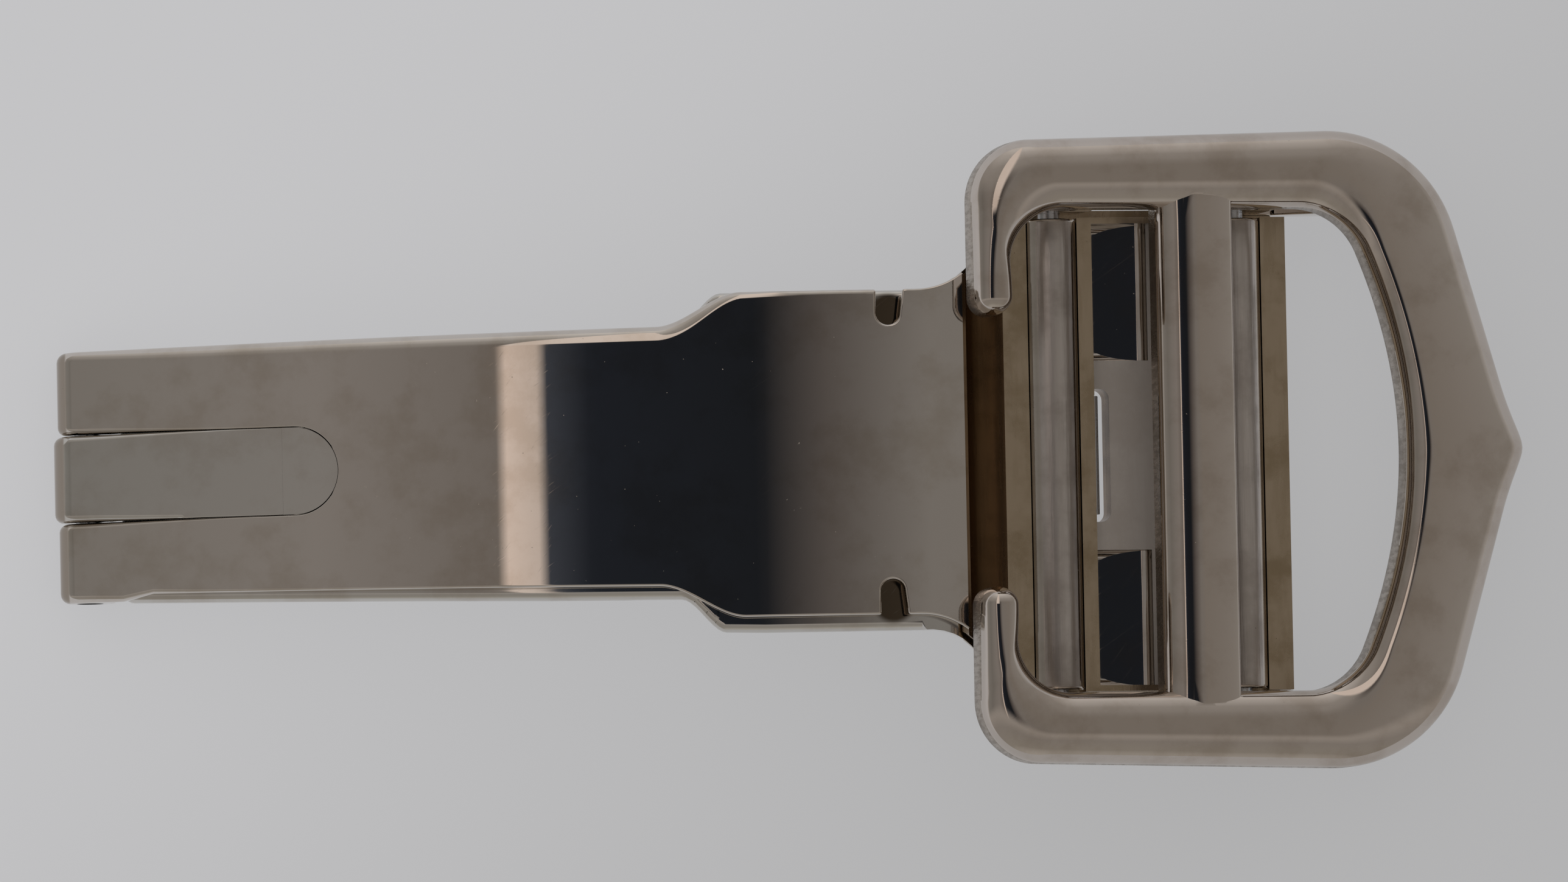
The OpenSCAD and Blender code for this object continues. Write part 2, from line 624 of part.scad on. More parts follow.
// Profile of the cross bar in X and Z: two upright walls, and a round slope on each side of the ridge
module cross_profile() {
    ridge = frame_top - cross_sunk;
    wall = frame_lift + cross_wall_h;
    right_wall = frame_lift + cross_right_h;
    polygon(concat([[cross_x, frame_lift], [cross_x, wall]],
        [for (i = [1:arc_steps]) let(a = 90 * i / arc_steps)
            [cross_x + cross_slope * (1 - cos(a)), wall + (ridge - wall) * sin(a)]],
        [for (i = [1:arc_steps]) let(a = 90 * i / arc_steps)
            [cross_x + cross_slope + (cross_w - cross_slope) * sin(a),
                right_wall + (ridge - right_wall) * cos(a)]],
        [[cross_x + cross_w, frame_lift]]));
}

module buckle_frame() color(polished) at_head() {
    upper = [for (s = frame_stations()) frame_section(s)];
    lower = [for (i = [1:len(upper) - 1]) [for (p = upper[i]) [p[0], -p[1], p[2]]]];
    swept(concat([for (i = [len(upper) - 1:-1:0]) upper[i]], lower));
    end = arm_in_y + arm_w * (1 - crest_arm);
    across(-end, end) cross_profile();
}

// A front ear: a round end about the front bar's axis, with a bore for the bar's tip
module front_ear() at_head() across(arm_in_y, arm_in_y + ear_t) difference() {
    union() {
        translate([-bar_x, -bar_drop]) circle(ear_r);
        translate([-bar_x - ear_r, -bar_drop]) square([ear_r * 2, bar_drop + frame_lift]);
    }
    translate([-bar_x, -bar_drop]) circle(tip_r + tip_clear);
}

// A rear ear: a fork that drops over the rear bar's tip
module rear_ear() at_head() across(arm_in_y, arm_in_y + ear_t) difference() {
    gap = tip_r + tip_clear;
    translate([bar_x - ear_r, -bar_drop - fork_l]) square([ear_r * 2, bar_drop + fork_l + frame_lift]);
    translate([bar_x, -bar_drop]) circle(gap);
    polygon([[bar_x - gap, -bar_drop], [bar_x + gap, -bar_drop],
        [bar_x + gap * 1.5, -bar_drop - fork_l - over], [bar_x - gap * 1.5, -bar_drop - fork_l - over]]);
}

module front_ear_left() color(polished) front_ear();
module front_ear_right() color(polished) mirror([0, 1, 0]) front_ear();
module rear_ear_left() color(polished) rear_ear();
module rear_ear_right() color(polished) mirror([0, 1, 0]) rear_ear();

// A bar's tube, with a neck at each end that keeps the tips in
module bar_tube(x) at_head() translate([x, 0, -bar_drop]) difference() {
    y_bar(bar_r, -bar_half, bar_half);
    y_bar(collar_r + tip_clear, -collar_out, collar_out);
    y_bar(tip_r + tip_clear, -far, far);
}

// A bar's tip on the side of positive Y: a plunger, a pin and a round nose
module bar_tip(x) at_head() translate([x, 0, -bar_drop]) {
    y_bar(collar_r, plunger_in, collar_out);
    y_bar(tip_r, collar_out, tip_end - tip_r);
    translate([0, tip_end - tip_r, 0]) sphere(tip_r, $fn = 32);
}

// A bar's coil spring, between the two plungers
module bar_spring(x) at_head() translate([x, 0, -bar_drop]) {
    turns = spring_turns * spring_steps;
    swept([for (i = [0:turns]) let(a = 360 * i / spring_steps, y = lerp(-spring_half, spring_half, i / turns))
        [for (j = [0:spring_sides - 1]) let(b = 360 * j / spring_sides, r = coil_r + wire_r * cos(b))
            [r * cos(a), y + wire_r * sin(b), r * sin(a)]]]);
}

module front_bar_tube() color(polished) bar_tube(-bar_x);
module front_tip_left() color(spring_steel) bar_tip(-bar_x);
module front_tip_right() color(spring_steel) mirror([0, 1, 0]) bar_tip(-bar_x);
module front_bar_spring() color(spring_steel) bar_spring(-bar_x);
module rear_bar_tube() color(polished) bar_tube(bar_x);
module rear_tip_left() color(spring_steel) bar_tip(bar_x);
module rear_tip_right() color(spring_steel) mirror([0, 1, 0]) bar_tip(bar_x);
module rear_bar_spring() color(spring_steel) bar_spring(bar_x);

cover_blade();
saddle_block();
inner_blade();
strap_lug_left();
strap_lug_right();
fold_hinge_pin();
catch_spring();
catch_rivets();
buckle_frame();
front_ear_left();
front_ear_right();
rear_ear_left();
rear_ear_right();
front_bar_tube();
front_tip_left();
front_tip_right();
front_bar_spring();
rear_bar_tube();
rear_tip_left();
rear_tip_right();
rear_bar_spring();
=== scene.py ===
"""Dresses the folding deployant clasp: soft-edged polished steel on a pale studio floor."""

import logging
from dataclasses import dataclass
from enum import Enum
from math import acos, asin, atan, atan2, cos, degrees, hypot, pi, radians, sin, sqrt, tan, tau
from typing import Callable

import bpy
from mathutils import Euler, Matrix, Vector

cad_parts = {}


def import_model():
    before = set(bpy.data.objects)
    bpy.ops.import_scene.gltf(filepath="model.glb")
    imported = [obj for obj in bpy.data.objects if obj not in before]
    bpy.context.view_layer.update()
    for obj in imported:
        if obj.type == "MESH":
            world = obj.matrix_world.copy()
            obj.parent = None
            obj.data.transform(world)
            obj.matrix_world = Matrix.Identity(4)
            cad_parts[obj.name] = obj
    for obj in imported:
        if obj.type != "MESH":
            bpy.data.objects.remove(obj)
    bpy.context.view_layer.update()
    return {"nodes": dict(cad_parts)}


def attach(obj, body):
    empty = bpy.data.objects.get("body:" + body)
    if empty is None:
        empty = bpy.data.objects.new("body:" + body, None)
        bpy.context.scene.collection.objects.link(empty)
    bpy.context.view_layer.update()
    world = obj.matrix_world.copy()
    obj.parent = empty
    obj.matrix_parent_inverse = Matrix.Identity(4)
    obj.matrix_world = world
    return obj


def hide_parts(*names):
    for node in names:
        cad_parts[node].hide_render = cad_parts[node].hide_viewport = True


Piece = bpy.types.Object
Material = bpy.types.Material
Socket = bpy.types.NodeSocket
Triple = tuple[float, float, float]
Tone = Triple
Pair = tuple[float, float]
Share = Callable[[Vector, Vector], float]

MM = 0.001
MERGE = 0.0005
WHOLE_DEG = 0.2
SOFT_DEG = 35.0
SMOOTH_DEG = 28.0
ARCH_LEAN_DEG = 3.0
ARCH_REACH_DEG = 45.0
LATHE_STEPS = 64
COPY_SEGMENTS = 2
ARCHED_SEGMENTS = 5
ARCHED_SOFT_DEG = 30.0
ARCHED_SMOOTH_DEG = 24.0
CROSSWISE = 0.9
MIX_FIRST, MIX_SECOND, MIX_RESULT = 6, 7, 2
log = logging.getLogger("clasp")


def blend(first: float, last: float, share: float) -> float:
    """Returns the value that lies a share of the way from one to another."""
    return first + (last - first) * share


def eased(share: float) -> float:
    """Returns a share with a soft start and a soft end."""
    return share * share * (3 - 2 * share)


def part_of(value: float, low: float, high: float) -> float:
    """Returns how far a value lies on the way from low to high, from 0 to 1."""
    return min(1.0, max(0.0, (value - low) / (high - low)))


def ticks(count: int) -> list[float]:
    """Lists the shares from 0 to 1 in a number of equal steps."""
    return [i / count for i in range(count + 1)]


def places(start: float, end: float, count: int) -> list[float]:
    """Lists equally spaced places from a start up to, but without, an end."""
    return [start + (end - start) * i / count for i in range(count)]


def polar(radius: float, angle_deg: float) -> Vector:
    """Returns the point at a radius and an angle."""
    return Vector((radius * cos(radians(angle_deg)), radius * sin(radians(angle_deg))))


@dataclass(frozen=True)
class HeadFrame:
    """The flat frame of the saddle and buckle, tilted and set on the blades' arch (millimetres).

    Its X runs towards the point of the buckle, its Z outwards, and its Z = 0 touches the arch.
    """

    tilt: float = radians(14.5)
    arch_radius: float = 59.0
    arch_x: float = -2.5237723761
    arch_z: float = -52.7688625277

    @property
    def centre(self) -> Vector:
        """Returns the centre of the arch."""
        return Vector((self.arch_x, 0, self.arch_z))

    def to_world(self, x: float, y: float, z: float) -> Vector:
        """Moves a point of the head frame to the clasp's own frame.

        Args:
            x: Distance towards the point of the buckle.
            y: Distance across the strap.
            z: Height over the tangent of the arch.

        Returns:
            The point in millimetres.
        """
        sine, cosine = sin(self.tilt), cos(self.tilt)
        rise = self.arch_radius + z
        return Vector((self.arch_x + rise * sine + x * cosine, y,
                       self.arch_z + rise * cosine - x * sine))

    def to_local(self, place: Vector) -> Vector:
        """Moves a point of the clasp's own frame to the head frame."""
        return self.turned_local(place - self.centre) - Vector((0, 0, self.arch_radius))

    def turned_local(self, direction: Vector) -> Vector:
        """Turns a direction of the clasp's own frame to the head frame."""
        sine, cosine = sin(self.tilt), cos(self.tilt)
        return Vector((direction.x * cosine - direction.z * sine, direction.y,
                       direction.x * sine + direction.z * cosine))

    def matrix(self) -> Matrix:
        """Returns the matrix that moves the head frame to the clasp's frame."""
        return (Matrix.Translation(self.centre) @ Matrix.Rotation(self.tilt, 4, "Y")
                @ Matrix.Translation((0, 0, self.arch_radius)))


HEAD = HeadFrame()


class Workbench:
    """Small helpers round Blender's operators: pieces are shaped at a thousand times their size."""

    @staticmethod
    def clear_selection() -> None:
        """Leaves edit mode and deselects everything."""
        if bpy.context.object and bpy.context.object.mode != "OBJECT":
            bpy.ops.object.mode_set(mode="OBJECT")
        bpy.ops.object.select_all(action="DESELECT")

    @classmethod
    def take(cls, piece: Piece) -> None:
        """Makes one piece the only selected and the active one."""
        cls.clear_selection()
        piece.select_set(True)
        bpy.context.view_layer.objects.active = piece

    @classmethod
    def add(cls, name: str, operator: Callable[..., object], **settings: object) -> Piece:
        """Adds a mesh with one of Blender's operators.

        Args:
            name: Name of the new piece.
            operator: The operator.
            **settings: What the operator is given.

        Returns:
            The new piece.
        """
        cls.clear_selection()
        operator(**settings)
        piece = bpy.context.object
        piece.name = piece.data.name = name
        return piece

    @staticmethod
    def edit(*steps: Callable[[], object]) -> None:
        """Runs steps on the active piece in edit mode, each with its whole mesh selected."""
        bpy.ops.object.mode_set(mode="EDIT")
        for step in steps:
            bpy.ops.mesh.select_all(action="SELECT")
            step()
        bpy.ops.object.mode_set(mode="OBJECT")

    @staticmethod
    def weld() -> None:
        """Merges the selected vertices that lie on each other."""
        bpy.ops.mesh.remove_doubles(threshold=MERGE)

    @staticmethod
    def face_out() -> None:
        """Turns the selected faces outwards."""
        bpy.ops.mesh.normals_make_consistent(inside=False)

    @classmethod
    def modify(cls, piece: Piece, kind: str, **settings: object) -> None:
        """Gives a piece a modifier and applies it.

        Args:
            piece: The piece.
            kind: Type name of the modifier.
            **settings: Properties of the modifier.
        """
        cls.take(piece)
        step = piece.modifiers.new(kind.lower(), kind)
        for key, value in settings.items():
            setattr(step, key, value)
        bpy.ops.object.modifier_apply(modifier=step.name)

    @classmethod
    def copy_of(cls, node: Piece, name: str) -> Piece:
        """Copies a solid of the fixed frame and cleans its triangles.

        Args:
            node: The solid to copy.
            name: Name of the new piece.

        Returns:
            The piece, in millimetres, with merged vertices and whole faces.
        """
        mesh = node.data.copy()
        mesh.name = name
        piece = bpy.data.objects.new(name, mesh)
        bpy.context.scene.collection.objects.link(piece)
        mesh.materials.clear()
        cls.take(piece)
        if mesh.has_custom_normals:
            bpy.ops.mesh.customdata_custom_splitnormals_clear()
        mesh.transform(Matrix.Scale(1 / MM, 4))
        cls.edit(cls.weld, lambda: bpy.ops.mesh.dissolve_limited(angle_limit=radians(WHOLE_DEG)))
        return piece

    @classmethod
    def soften(cls, piece: Piece, width: float, segments: int, angle: float = SOFT_DEG,
               share: Share | None = None) -> None:
        """Rounds a piece's sharp edges by a small width.

        Args:
            piece: The piece, in millimetres.
            width: Width of the rounding.
            segments: Number of faces across it.
            angle: Smallest angle of an edge that is rounded, in degrees.
            share: Gives the part of the width that an edge gets, by its middle and direction.
        """
        if share is not None:
            cls.weigh_edges(piece.data, cos(radians(angle)), share)
        cls.modify(piece, "BEVEL", width=width, segments=segments, angle_limit=radians(angle),
                   limit_method="WEIGHT" if share is not None else "ANGLE",
                   use_clamp_overlap=share is None)

    @staticmethod
    def weigh_edges(mesh: bpy.types.Mesh, limit: float, share: Share) -> None:
        """Gives each sharp edge of a mesh its part of the rounding.

        Args:
            mesh: The mesh, in millimetres.
            limit: Cosine of the smallest angle of an edge that is rounded.
            share: Gives the part of the width by the edge's middle and direction.
        """
        sides: dict[tuple[int, int], list[Vector]] = {}
        for face in mesh.polygons:
            for key in face.edge_keys:
                sides.setdefault(key, []).append(face.normal.copy())
        weights = mesh.attributes.new("bevel_weight_edge", "FLOAT", "EDGE")
        for edge in mesh.edges:
            normals = sides.get(edge.key, [])
            sharp = len(normals) == 2 and normals[0].dot(normals[1]) < limit
            first, second = (mesh.vertices[i].co for i in edge.vertices)
            weights.data[edge.index].value = share(
                (first + second) / 2, (second - first).normalized()) if sharp else 0.0

    @classmethod
    def smooth(cls, piece: Piece, angle: float = SMOOTH_DEG) -> None:
        """Shades a piece smooth except across edges sharper than an angle in degrees."""
        cls.take(piece)
        bpy.ops.object.shade_smooth_by_angle(angle=radians(angle))

    @staticmethod
    def place_arch(piece: Piece) -> None:
        """Moves a piece from the frame of the arch to the clasp's own."""
        piece.data.transform(Matrix.Translation(HEAD.centre))

    @staticmethod
    def arch_shading(piece: Piece) -> None:
        """Gives the faces of a piece that follow the arch the arch's true normals."""
        mesh, centre = piece.data, HEAD.centre
        limit, reach = cos(radians(ARCH_LEAN_DEG)), cos(radians(ARCH_REACH_DEG))
        normals = [Vector(corner.vector) for corner in mesh.corner_normals]
        arched: dict[int, Vector] = {}
        for face in mesh.polygons:
            middle = face.center - centre
            middle.y = 0
            side = face.normal.dot(middle.normalized())
            if abs(side) < limit:
                continue
            for vertex in face.vertices:
                out = mesh.vertices[vertex].co - centre
                out.y = 0
                arched[vertex] = out.normalized() * (1 if side > 0 else -1)
        for face in mesh.polygons:
            for corner in face.loop_indices:
                normal = arched.get(mesh.loops[corner].vertex_index)
                if normal is not None and face.normal.dot(normal) > reach:
                    normals[corner] = normal
        mesh.normals_split_custom_set(normals)

    @classmethod
    def round_arched(cls, piece: Piece, width: float, share: Share) -> None:
        """Rounds a piece of the arch's frame, moves it to the clasp's own and shades it.

        Args:
            piece: The piece, in millimetres.
            width: Width of the rounding.
            share: Gives the part of the width that an edge gets.
        """
        cls.soften(piece, width, ARCHED_SEGMENTS, ARCHED_SOFT_DEG, share)
        cls.place_arch(piece)
        cls.smooth(piece, ARCHED_SMOOTH_DEG)
        cls.arch_shading(piece)

    @classmethod
    def swept(cls, name: str, sections: list[list[Vector]]) -> Piece:
        """Shapes a grid into a closed tube through sections of equal counts.

        Args:
            name: Name of the piece.
            sections: The sections' points, in order along the tube.

        Returns:
            The piece, in millimetres, capped at both ends.
        """
        rows, columns = len(sections[0]) + 1, len(sections)
        piece = cls.add(name, bpy.ops.mesh.primitive_grid_add, x_subdivisions=columns - 1,
                        y_subdivisions=rows - 1, size=1)
        for row in range(rows):
            for column, section in enumerate(sections):
                piece.data.vertices[row * columns + column].co = section[row % len(section)]
        cls.edit(cls.weld, lambda: bpy.ops.mesh.fill_holes(sides=0), cls.face_out)
        return piece

    @classmethod
    def prism(cls, name: str, outline: list[Vector], lift: Vector) -> Piece:
        """Extrudes a flat outline.

        Args:
            name: Name of the piece.
            outline: The outline's corners, in order round it.
            lift: Direction and length of the extrusion.

        Returns:
            The piece, in millimetres, closed and with its faces outwards.
        """
        piece = cls.add(name, bpy.ops.mesh.primitive_circle_add, vertices=len(outline), radius=1,
                        fill_type="NGON")
        for vertex, place in zip(piece.data.vertices, outline):
            vertex.co = place
        cls.edit(lambda: bpy.ops.mesh.extrude_region_move(TRANSFORM_OT_translate={"value": lift}),
                 cls.face_out)
        return piece

    @classmethod
    def combine(cls, piece: Piece, tool: Piece, operation: str) -> None:
        """Joins, cuts or crops a piece with another, which is used up.

        Args:
            piece: The piece that stays.
            tool: The piece that is used up.
            operation: UNION, DIFFERENCE or INTERSECT.
        """
        cls.modify(piece, "BOOLEAN", operation=operation, solver="EXACT", object=tool)
        bpy.data.objects.remove(tool)

    @classmethod
    def turned(cls, name: str, profile: list[Pair]) -> Piece:
        """Spins a profile about the Y axis, as on a lathe.

        Args:
            name: Name of the piece.
            profile: Places along Y and radii, from one end to the other.

        Returns:
            The piece, in millimetres, about the Y axis of its own frame.
        """
        def draw() -> None:
            """Draws the profile out of the one corner that the merging leaves."""
            bpy.ops.transform.translate(value=(profile[0][1], profile[0][0], 0))
            for before, after in zip(profile, profile[1:]):
                bpy.ops.mesh.extrude_region_move(TRANSFORM_OT_translate={
                    "value": (after[1] - before[1], after[0] - before[0], 0)})

        piece = cls.add(name, bpy.ops.mesh.primitive_plane_add, size=1)
        cls.edit(lambda: bpy.ops.mesh.merge(type="CENTER"), draw,
                 lambda: bpy.ops.mesh.spin(steps=LATHE_STEPS, angle=tau, center=(0, 0, 0),
                                           axis=(0, 1, 0)),
                 cls.weld, cls.face_out)
        return piece


class NodePaper:
    """A thin wrapper that lays out the nodes of one material or world."""

    def __init__(self, owner: Material | bpy.types.World) -> None:
        """Empties the tree of a material or a world."""
        owner.use_nodes = True
        self.tree = owner.node_tree
        self.tree.nodes.clear()

    def add(self, kind: str, inputs: dict[str | int, object] | None = None,
            **settings: object) -> bpy.types.Node:
        """Adds a node, sets its properties and feeds its sockets.

        Args:
            kind: Type name of the node, without the part that all have in common.
            inputs: What each socket gets: another node's socket or a plain value.
            **settings: Properties of the node.

        Returns:
            The node.
        """
        node = self.tree.nodes.new("ShaderNode" + kind)
        for key, value in settings.items():
            setattr(node, key, value)
        for key, value in (inputs or {}).items():
            if isinstance(value, Socket):
                self.tree.links.new(value, node.inputs[key])
            else:
                node.inputs[key].default_value = value
        return node

    def split(self, place: Socket) -> bpy.types.bpy_prop_collection:
        """Returns the sockets of a place's X, Y and Z."""
        return self.add("SeparateXYZ", {0: place}).outputs

    def remap(self, value: Socket, low: float, high: float, shape: str = "SMOOTHSTEP") -> Socket:
        """Adds a clamped change of range.

        Args:
            value: Socket to change.
            low: Value that becomes 0.
            high: Value that becomes 1.
            shape: How the result runs in between.

        Returns:
            The changed value.
        """
        return self.add("MapRange", {"Value": value, "From Min": low, "From Max": high},
                        clamp=True, interpolation_type=shape).outputs["Result"]

    def math(self, operation: str, first: Socket, second: Socket | float) -> Socket:
        """Adds a calculation on two values."""
        return self.add("Math", {0: first, 1: second}, operation=operation).outputs[0]

    def mix(self, share: Socket, first: Tone | Socket, second: Tone | Socket) -> Socket:
        """Adds a mix of two colours by a share."""
        colours = [c if isinstance(c, Socket) else (*c, 1.0) for c in (first, second)]
        return self.add("Mix", {0: share, MIX_FIRST: colours[0], MIX_SECOND: colours[1]},
                        data_type="RGBA").outputs[MIX_RESULT]

    def ramp(self, value: Socket, stops: tuple[tuple[float, Tone], ...]) -> Socket:
        """Adds a colour ramp over a value.

        Args:
            value: Socket with the value.
            stops: Values and their colours, in order.

        Returns:
            The colour's socket.
        """
        low, high = stops[0][0], stops[-1][0]
        node = self.add("ValToRGB", {"Fac": self.remap(value, low, high, "LINEAR")})
        elements = node.color_ramp.elements
        while len(elements) > 1:
            elements.remove(elements[-1])
        elements[0].color = (*stops[0][1], 1.0)
        for place, colour in stops[1:]:
            elements.new((place - low) / (high - low)).color = (*colour, 1.0)
        return node.outputs["Color"]


@dataclass(frozen=True)
class Marks:
    """A noise pattern: its repeats in a metre, finer layers, range, stretch and turn."""

    scale: float
    detail: float
    rough: float
    low: float
    high: float
    stretch: Triple | None = None
    turn_deg: float = 0.0

    def draw(self, paper: NodePaper, place: Socket) -> Socket:
        """Adds the pattern.

        Args:
            paper: The material's nodes.
            place: Socket with the place.

        Returns:
            The pattern's value, from 0 to 1.
        """
        if self.stretch is not None:
            place = paper.add("Mapping", {
                "Vector": place, "Rotation": (0, 0, radians(self.turn_deg)),
                "Scale": tuple(1 / factor for factor in self.stretch),
            }, vector_type="TEXTURE").outputs["Vector"]
        noise = paper.add("TexNoise", {"Vector": place, "Scale": self.scale, "Detail": self.detail,
                                       "Roughness": self.rough})
        return paper.remap(noise.outputs["Fac"], self.low, self.high)


class Wear(Enum):
    """How a steel surface has aged: the share of its stain in its marks, and their patterns."""

    SCRATCHED = (0.12, (Marks(17000.0, 2.0, 0.5, 0.66, 0.78, (0.015, 1.0, 1.0), 34.0),
                        Marks(21000.0, 2.0, 0.5, 0.67, 0.8, (0.02, 1.0, 1.0), 52.0)))
    TARNISHED = (0.5, (Marks(2600.0, 4.0, 0.6, 0.42, 0.7, (1.0, 0.12, 1.0)),))
    WORN = (0.35, (Marks(5200.0, 4.0, 0.6, 0.4, 0.68, (1.0, 0.05, 1.0)),))
    CUT = (0.75, (Marks(6500.0, 3.0, 0.6, 0.4, 0.66, (1.0, 1.0, 0.06)),))


CLOUD = Marks(420.0, 6.0, 0.62, 0.44, 0.68)
SPECKS = Marks(9000.0, 1.0, 0.4, 0.79, 0.84)
GRAIN_ROUGH = 0.05
SPECK_ROUGH = 0.5
BUMP_DEPTH = 0.00001
# Painted shade: dark brown spots on the inner blade under the cover's two notches, for the shade in
# those recesses.
NOTCH_SHADE_PLACES = ((3.53, 4.8, 4.87), (3.53, -4.8, 4.87))
NOTCH_SHADE_REACH = (0.62, 0.86)
NOTCH_SHADE_TONE = (0.13, 0.10, 0.07)
# Painted shade: the blades' steel turns darker towards the knuckles' far end, for the shade that
# this steep end reflects.
END_SHADE_RUN = 0.08
END_SHADE_TONE = (0.36, 0.31, 0.26)


@dataclass(frozen=True)
class SteelFinish:
    """One finish of the clasp's steel, as a procedural material."""

    name: str
    tone: Tone
    stain: Tone
    gloss: float
    wear: Wear
    relief: float = 0.25
    smudge: float = 0.05
    metal: float = 1.0
    notch_shade: bool = False
    end_shade_x: float = -30.0

    def build(self) -> Material:
        """Builds the material.

        Returns:
            The material, whose pattern reads Object coordinates.
        """
        material = bpy.data.materials.new(self.name)
        material.diffuse_color = (*self.tone, 1.0)
        paper = NodePaper(material)
        place = paper.add("TexCoord").outputs["Object"]
        stained, patterns = self.wear.value
        cloud = CLOUD.draw(paper, place)
        grain = patterns[0].draw(paper, place)
        for pattern in patterns[1:]:
            grain = paper.math("MAXIMUM", grain, pattern.draw(paper, place))
        colour = paper.mix(cloud, self.tone, self.stain)
        # Painted shade under the two notches, on the finishes that ask for it.
        if self.notch_shade:
            colour = self._notch_shade(paper, place, colour)
        # Painted shade: the colour darkens towards the far end of the knuckles.
        at_end = paper.remap(paper.split(place)["X"], (self.end_shade_x + END_SHADE_RUN) * MM,
                             self.end_shade_x * MM)
        colour = paper.mix(at_end, colour, END_SHADE_TONE)
        colour = paper.mix(paper.math("MULTIPLY", grain, stained), colour, self.stain)
        rough = paper.math("MULTIPLY", cloud, self.smudge)
        for pattern, share in ((grain, GRAIN_ROUGH), (SPECKS.draw(paper, place), SPECK_ROUGH)):
            rough = paper.math("ADD", rough, paper.math("MULTIPLY", pattern, share))
        bump = paper.add("Bump", {"Height": grain, "Strength": self.relief,
                                  "Distance": BUMP_DEPTH})
        shader = paper.add("BsdfPrincipled", {
            "Base Color": colour, "Metallic": self.metal, "Normal": bump.outputs["Normal"],
            "Roughness": paper.math("ADD", rough, self.gloss)})
        paper.add("OutputMaterial", {"Surface": shader.outputs["BSDF"]})
        return material

    @staticmethod
    def _notch_shade(paper: NodePaper, place: Socket, colour: Socket) -> Socket:
        """Paints shade on the steel under the cover blade's two notches, where the deep recess lies
        in shade.

        Args:
            paper: The material's nodes.
            place: Socket with the place.
            colour: Socket with the colour so far.

        Returns:
            The darkened colour.
        """
        for spot in NOTCH_SHADE_PLACES:
            gap = paper.add("VectorMath", {0: place, 1: tuple(v * MM for v in spot)},
                            operation="DISTANCE").outputs["Value"]
            near = paper.remap(gap, NOTCH_SHADE_REACH[1] * MM, NOTCH_SHADE_REACH[0] * MM)
            colour = paper.mix(near, colour, NOTCH_SHADE_TONE)
        return colour


STEELS = (
    SteelFinish("polished_steel", (0.68, 0.635, 0.59), (0.60, 0.545, 0.485), 0.012,
                Wear.SCRATCHED, 0.008, 0.02, end_shade_x=-24.44),
    SteelFinish("inner_steel", (0.67, 0.65, 0.615), (0.60, 0.565, 0.52), 0.05,
                Wear.SCRATCHED, 0.01, 0.04, notch_shade=True, end_shade_x=-24.54),
    SteelFinish("frame_steel", (0.62, 0.56, 0.51), (0.53, 0.465, 0.41), 0.03,
                Wear.SCRATCHED, 0.02, 0.05),
    # Painted shade: the upright walls are dark brown for the shade that they reflect; their cutting
    # marks are real.
    SteelFinish("cut_shaded_wall_steel", (0.42, 0.36, 0.30), (0.22, 0.175, 0.13), 0.26, Wear.CUT, 0.6),
    SteelFinish("web_steel", (0.36, 0.325, 0.295), (0.31, 0.275, 0.245), 0.34,
                Wear.TARNISHED, 0.15, 0.08, 0.5),
    SteelFinish("milled_steel", (0.52, 0.43, 0.32), (0.38, 0.30, 0.20), 0.24,
                Wear.TARNISHED, 0.3),
    SteelFinish("recess_steel", (0.58, 0.54, 0.50), (0.50, 0.45, 0.40), 0.06,
                Wear.SCRATCHED, 0.05, 0.04),
    # Tarnish and painted shade: the saddle's cove and the recess walls are dark brown for the shade
    # in these hollows.
    SteelFinish("tarnished_shaded_cove_steel", (0.26, 0.175, 0.105), (0.15, 0.10, 0.06), 0.22,
                Wear.TARNISHED, 0.2),
    SteelFinish("bar_steel", (0.60, 0.55, 0.50), (0.50, 0.45, 0.40), 0.08, Wear.SCRATCHED, 0.1),
    SteelFinish("worn_bar_steel", (0.62, 0.58, 0.55), (0.46, 0.42, 0.39), 0.30,
                Wear.WORN, 0.35, 0.08),
    SteelFinish("spring_steel", (0.58, 0.59, 0.61), (0.50, 0.50, 0.51), 0.25, Wear.SCRATCHED),
)


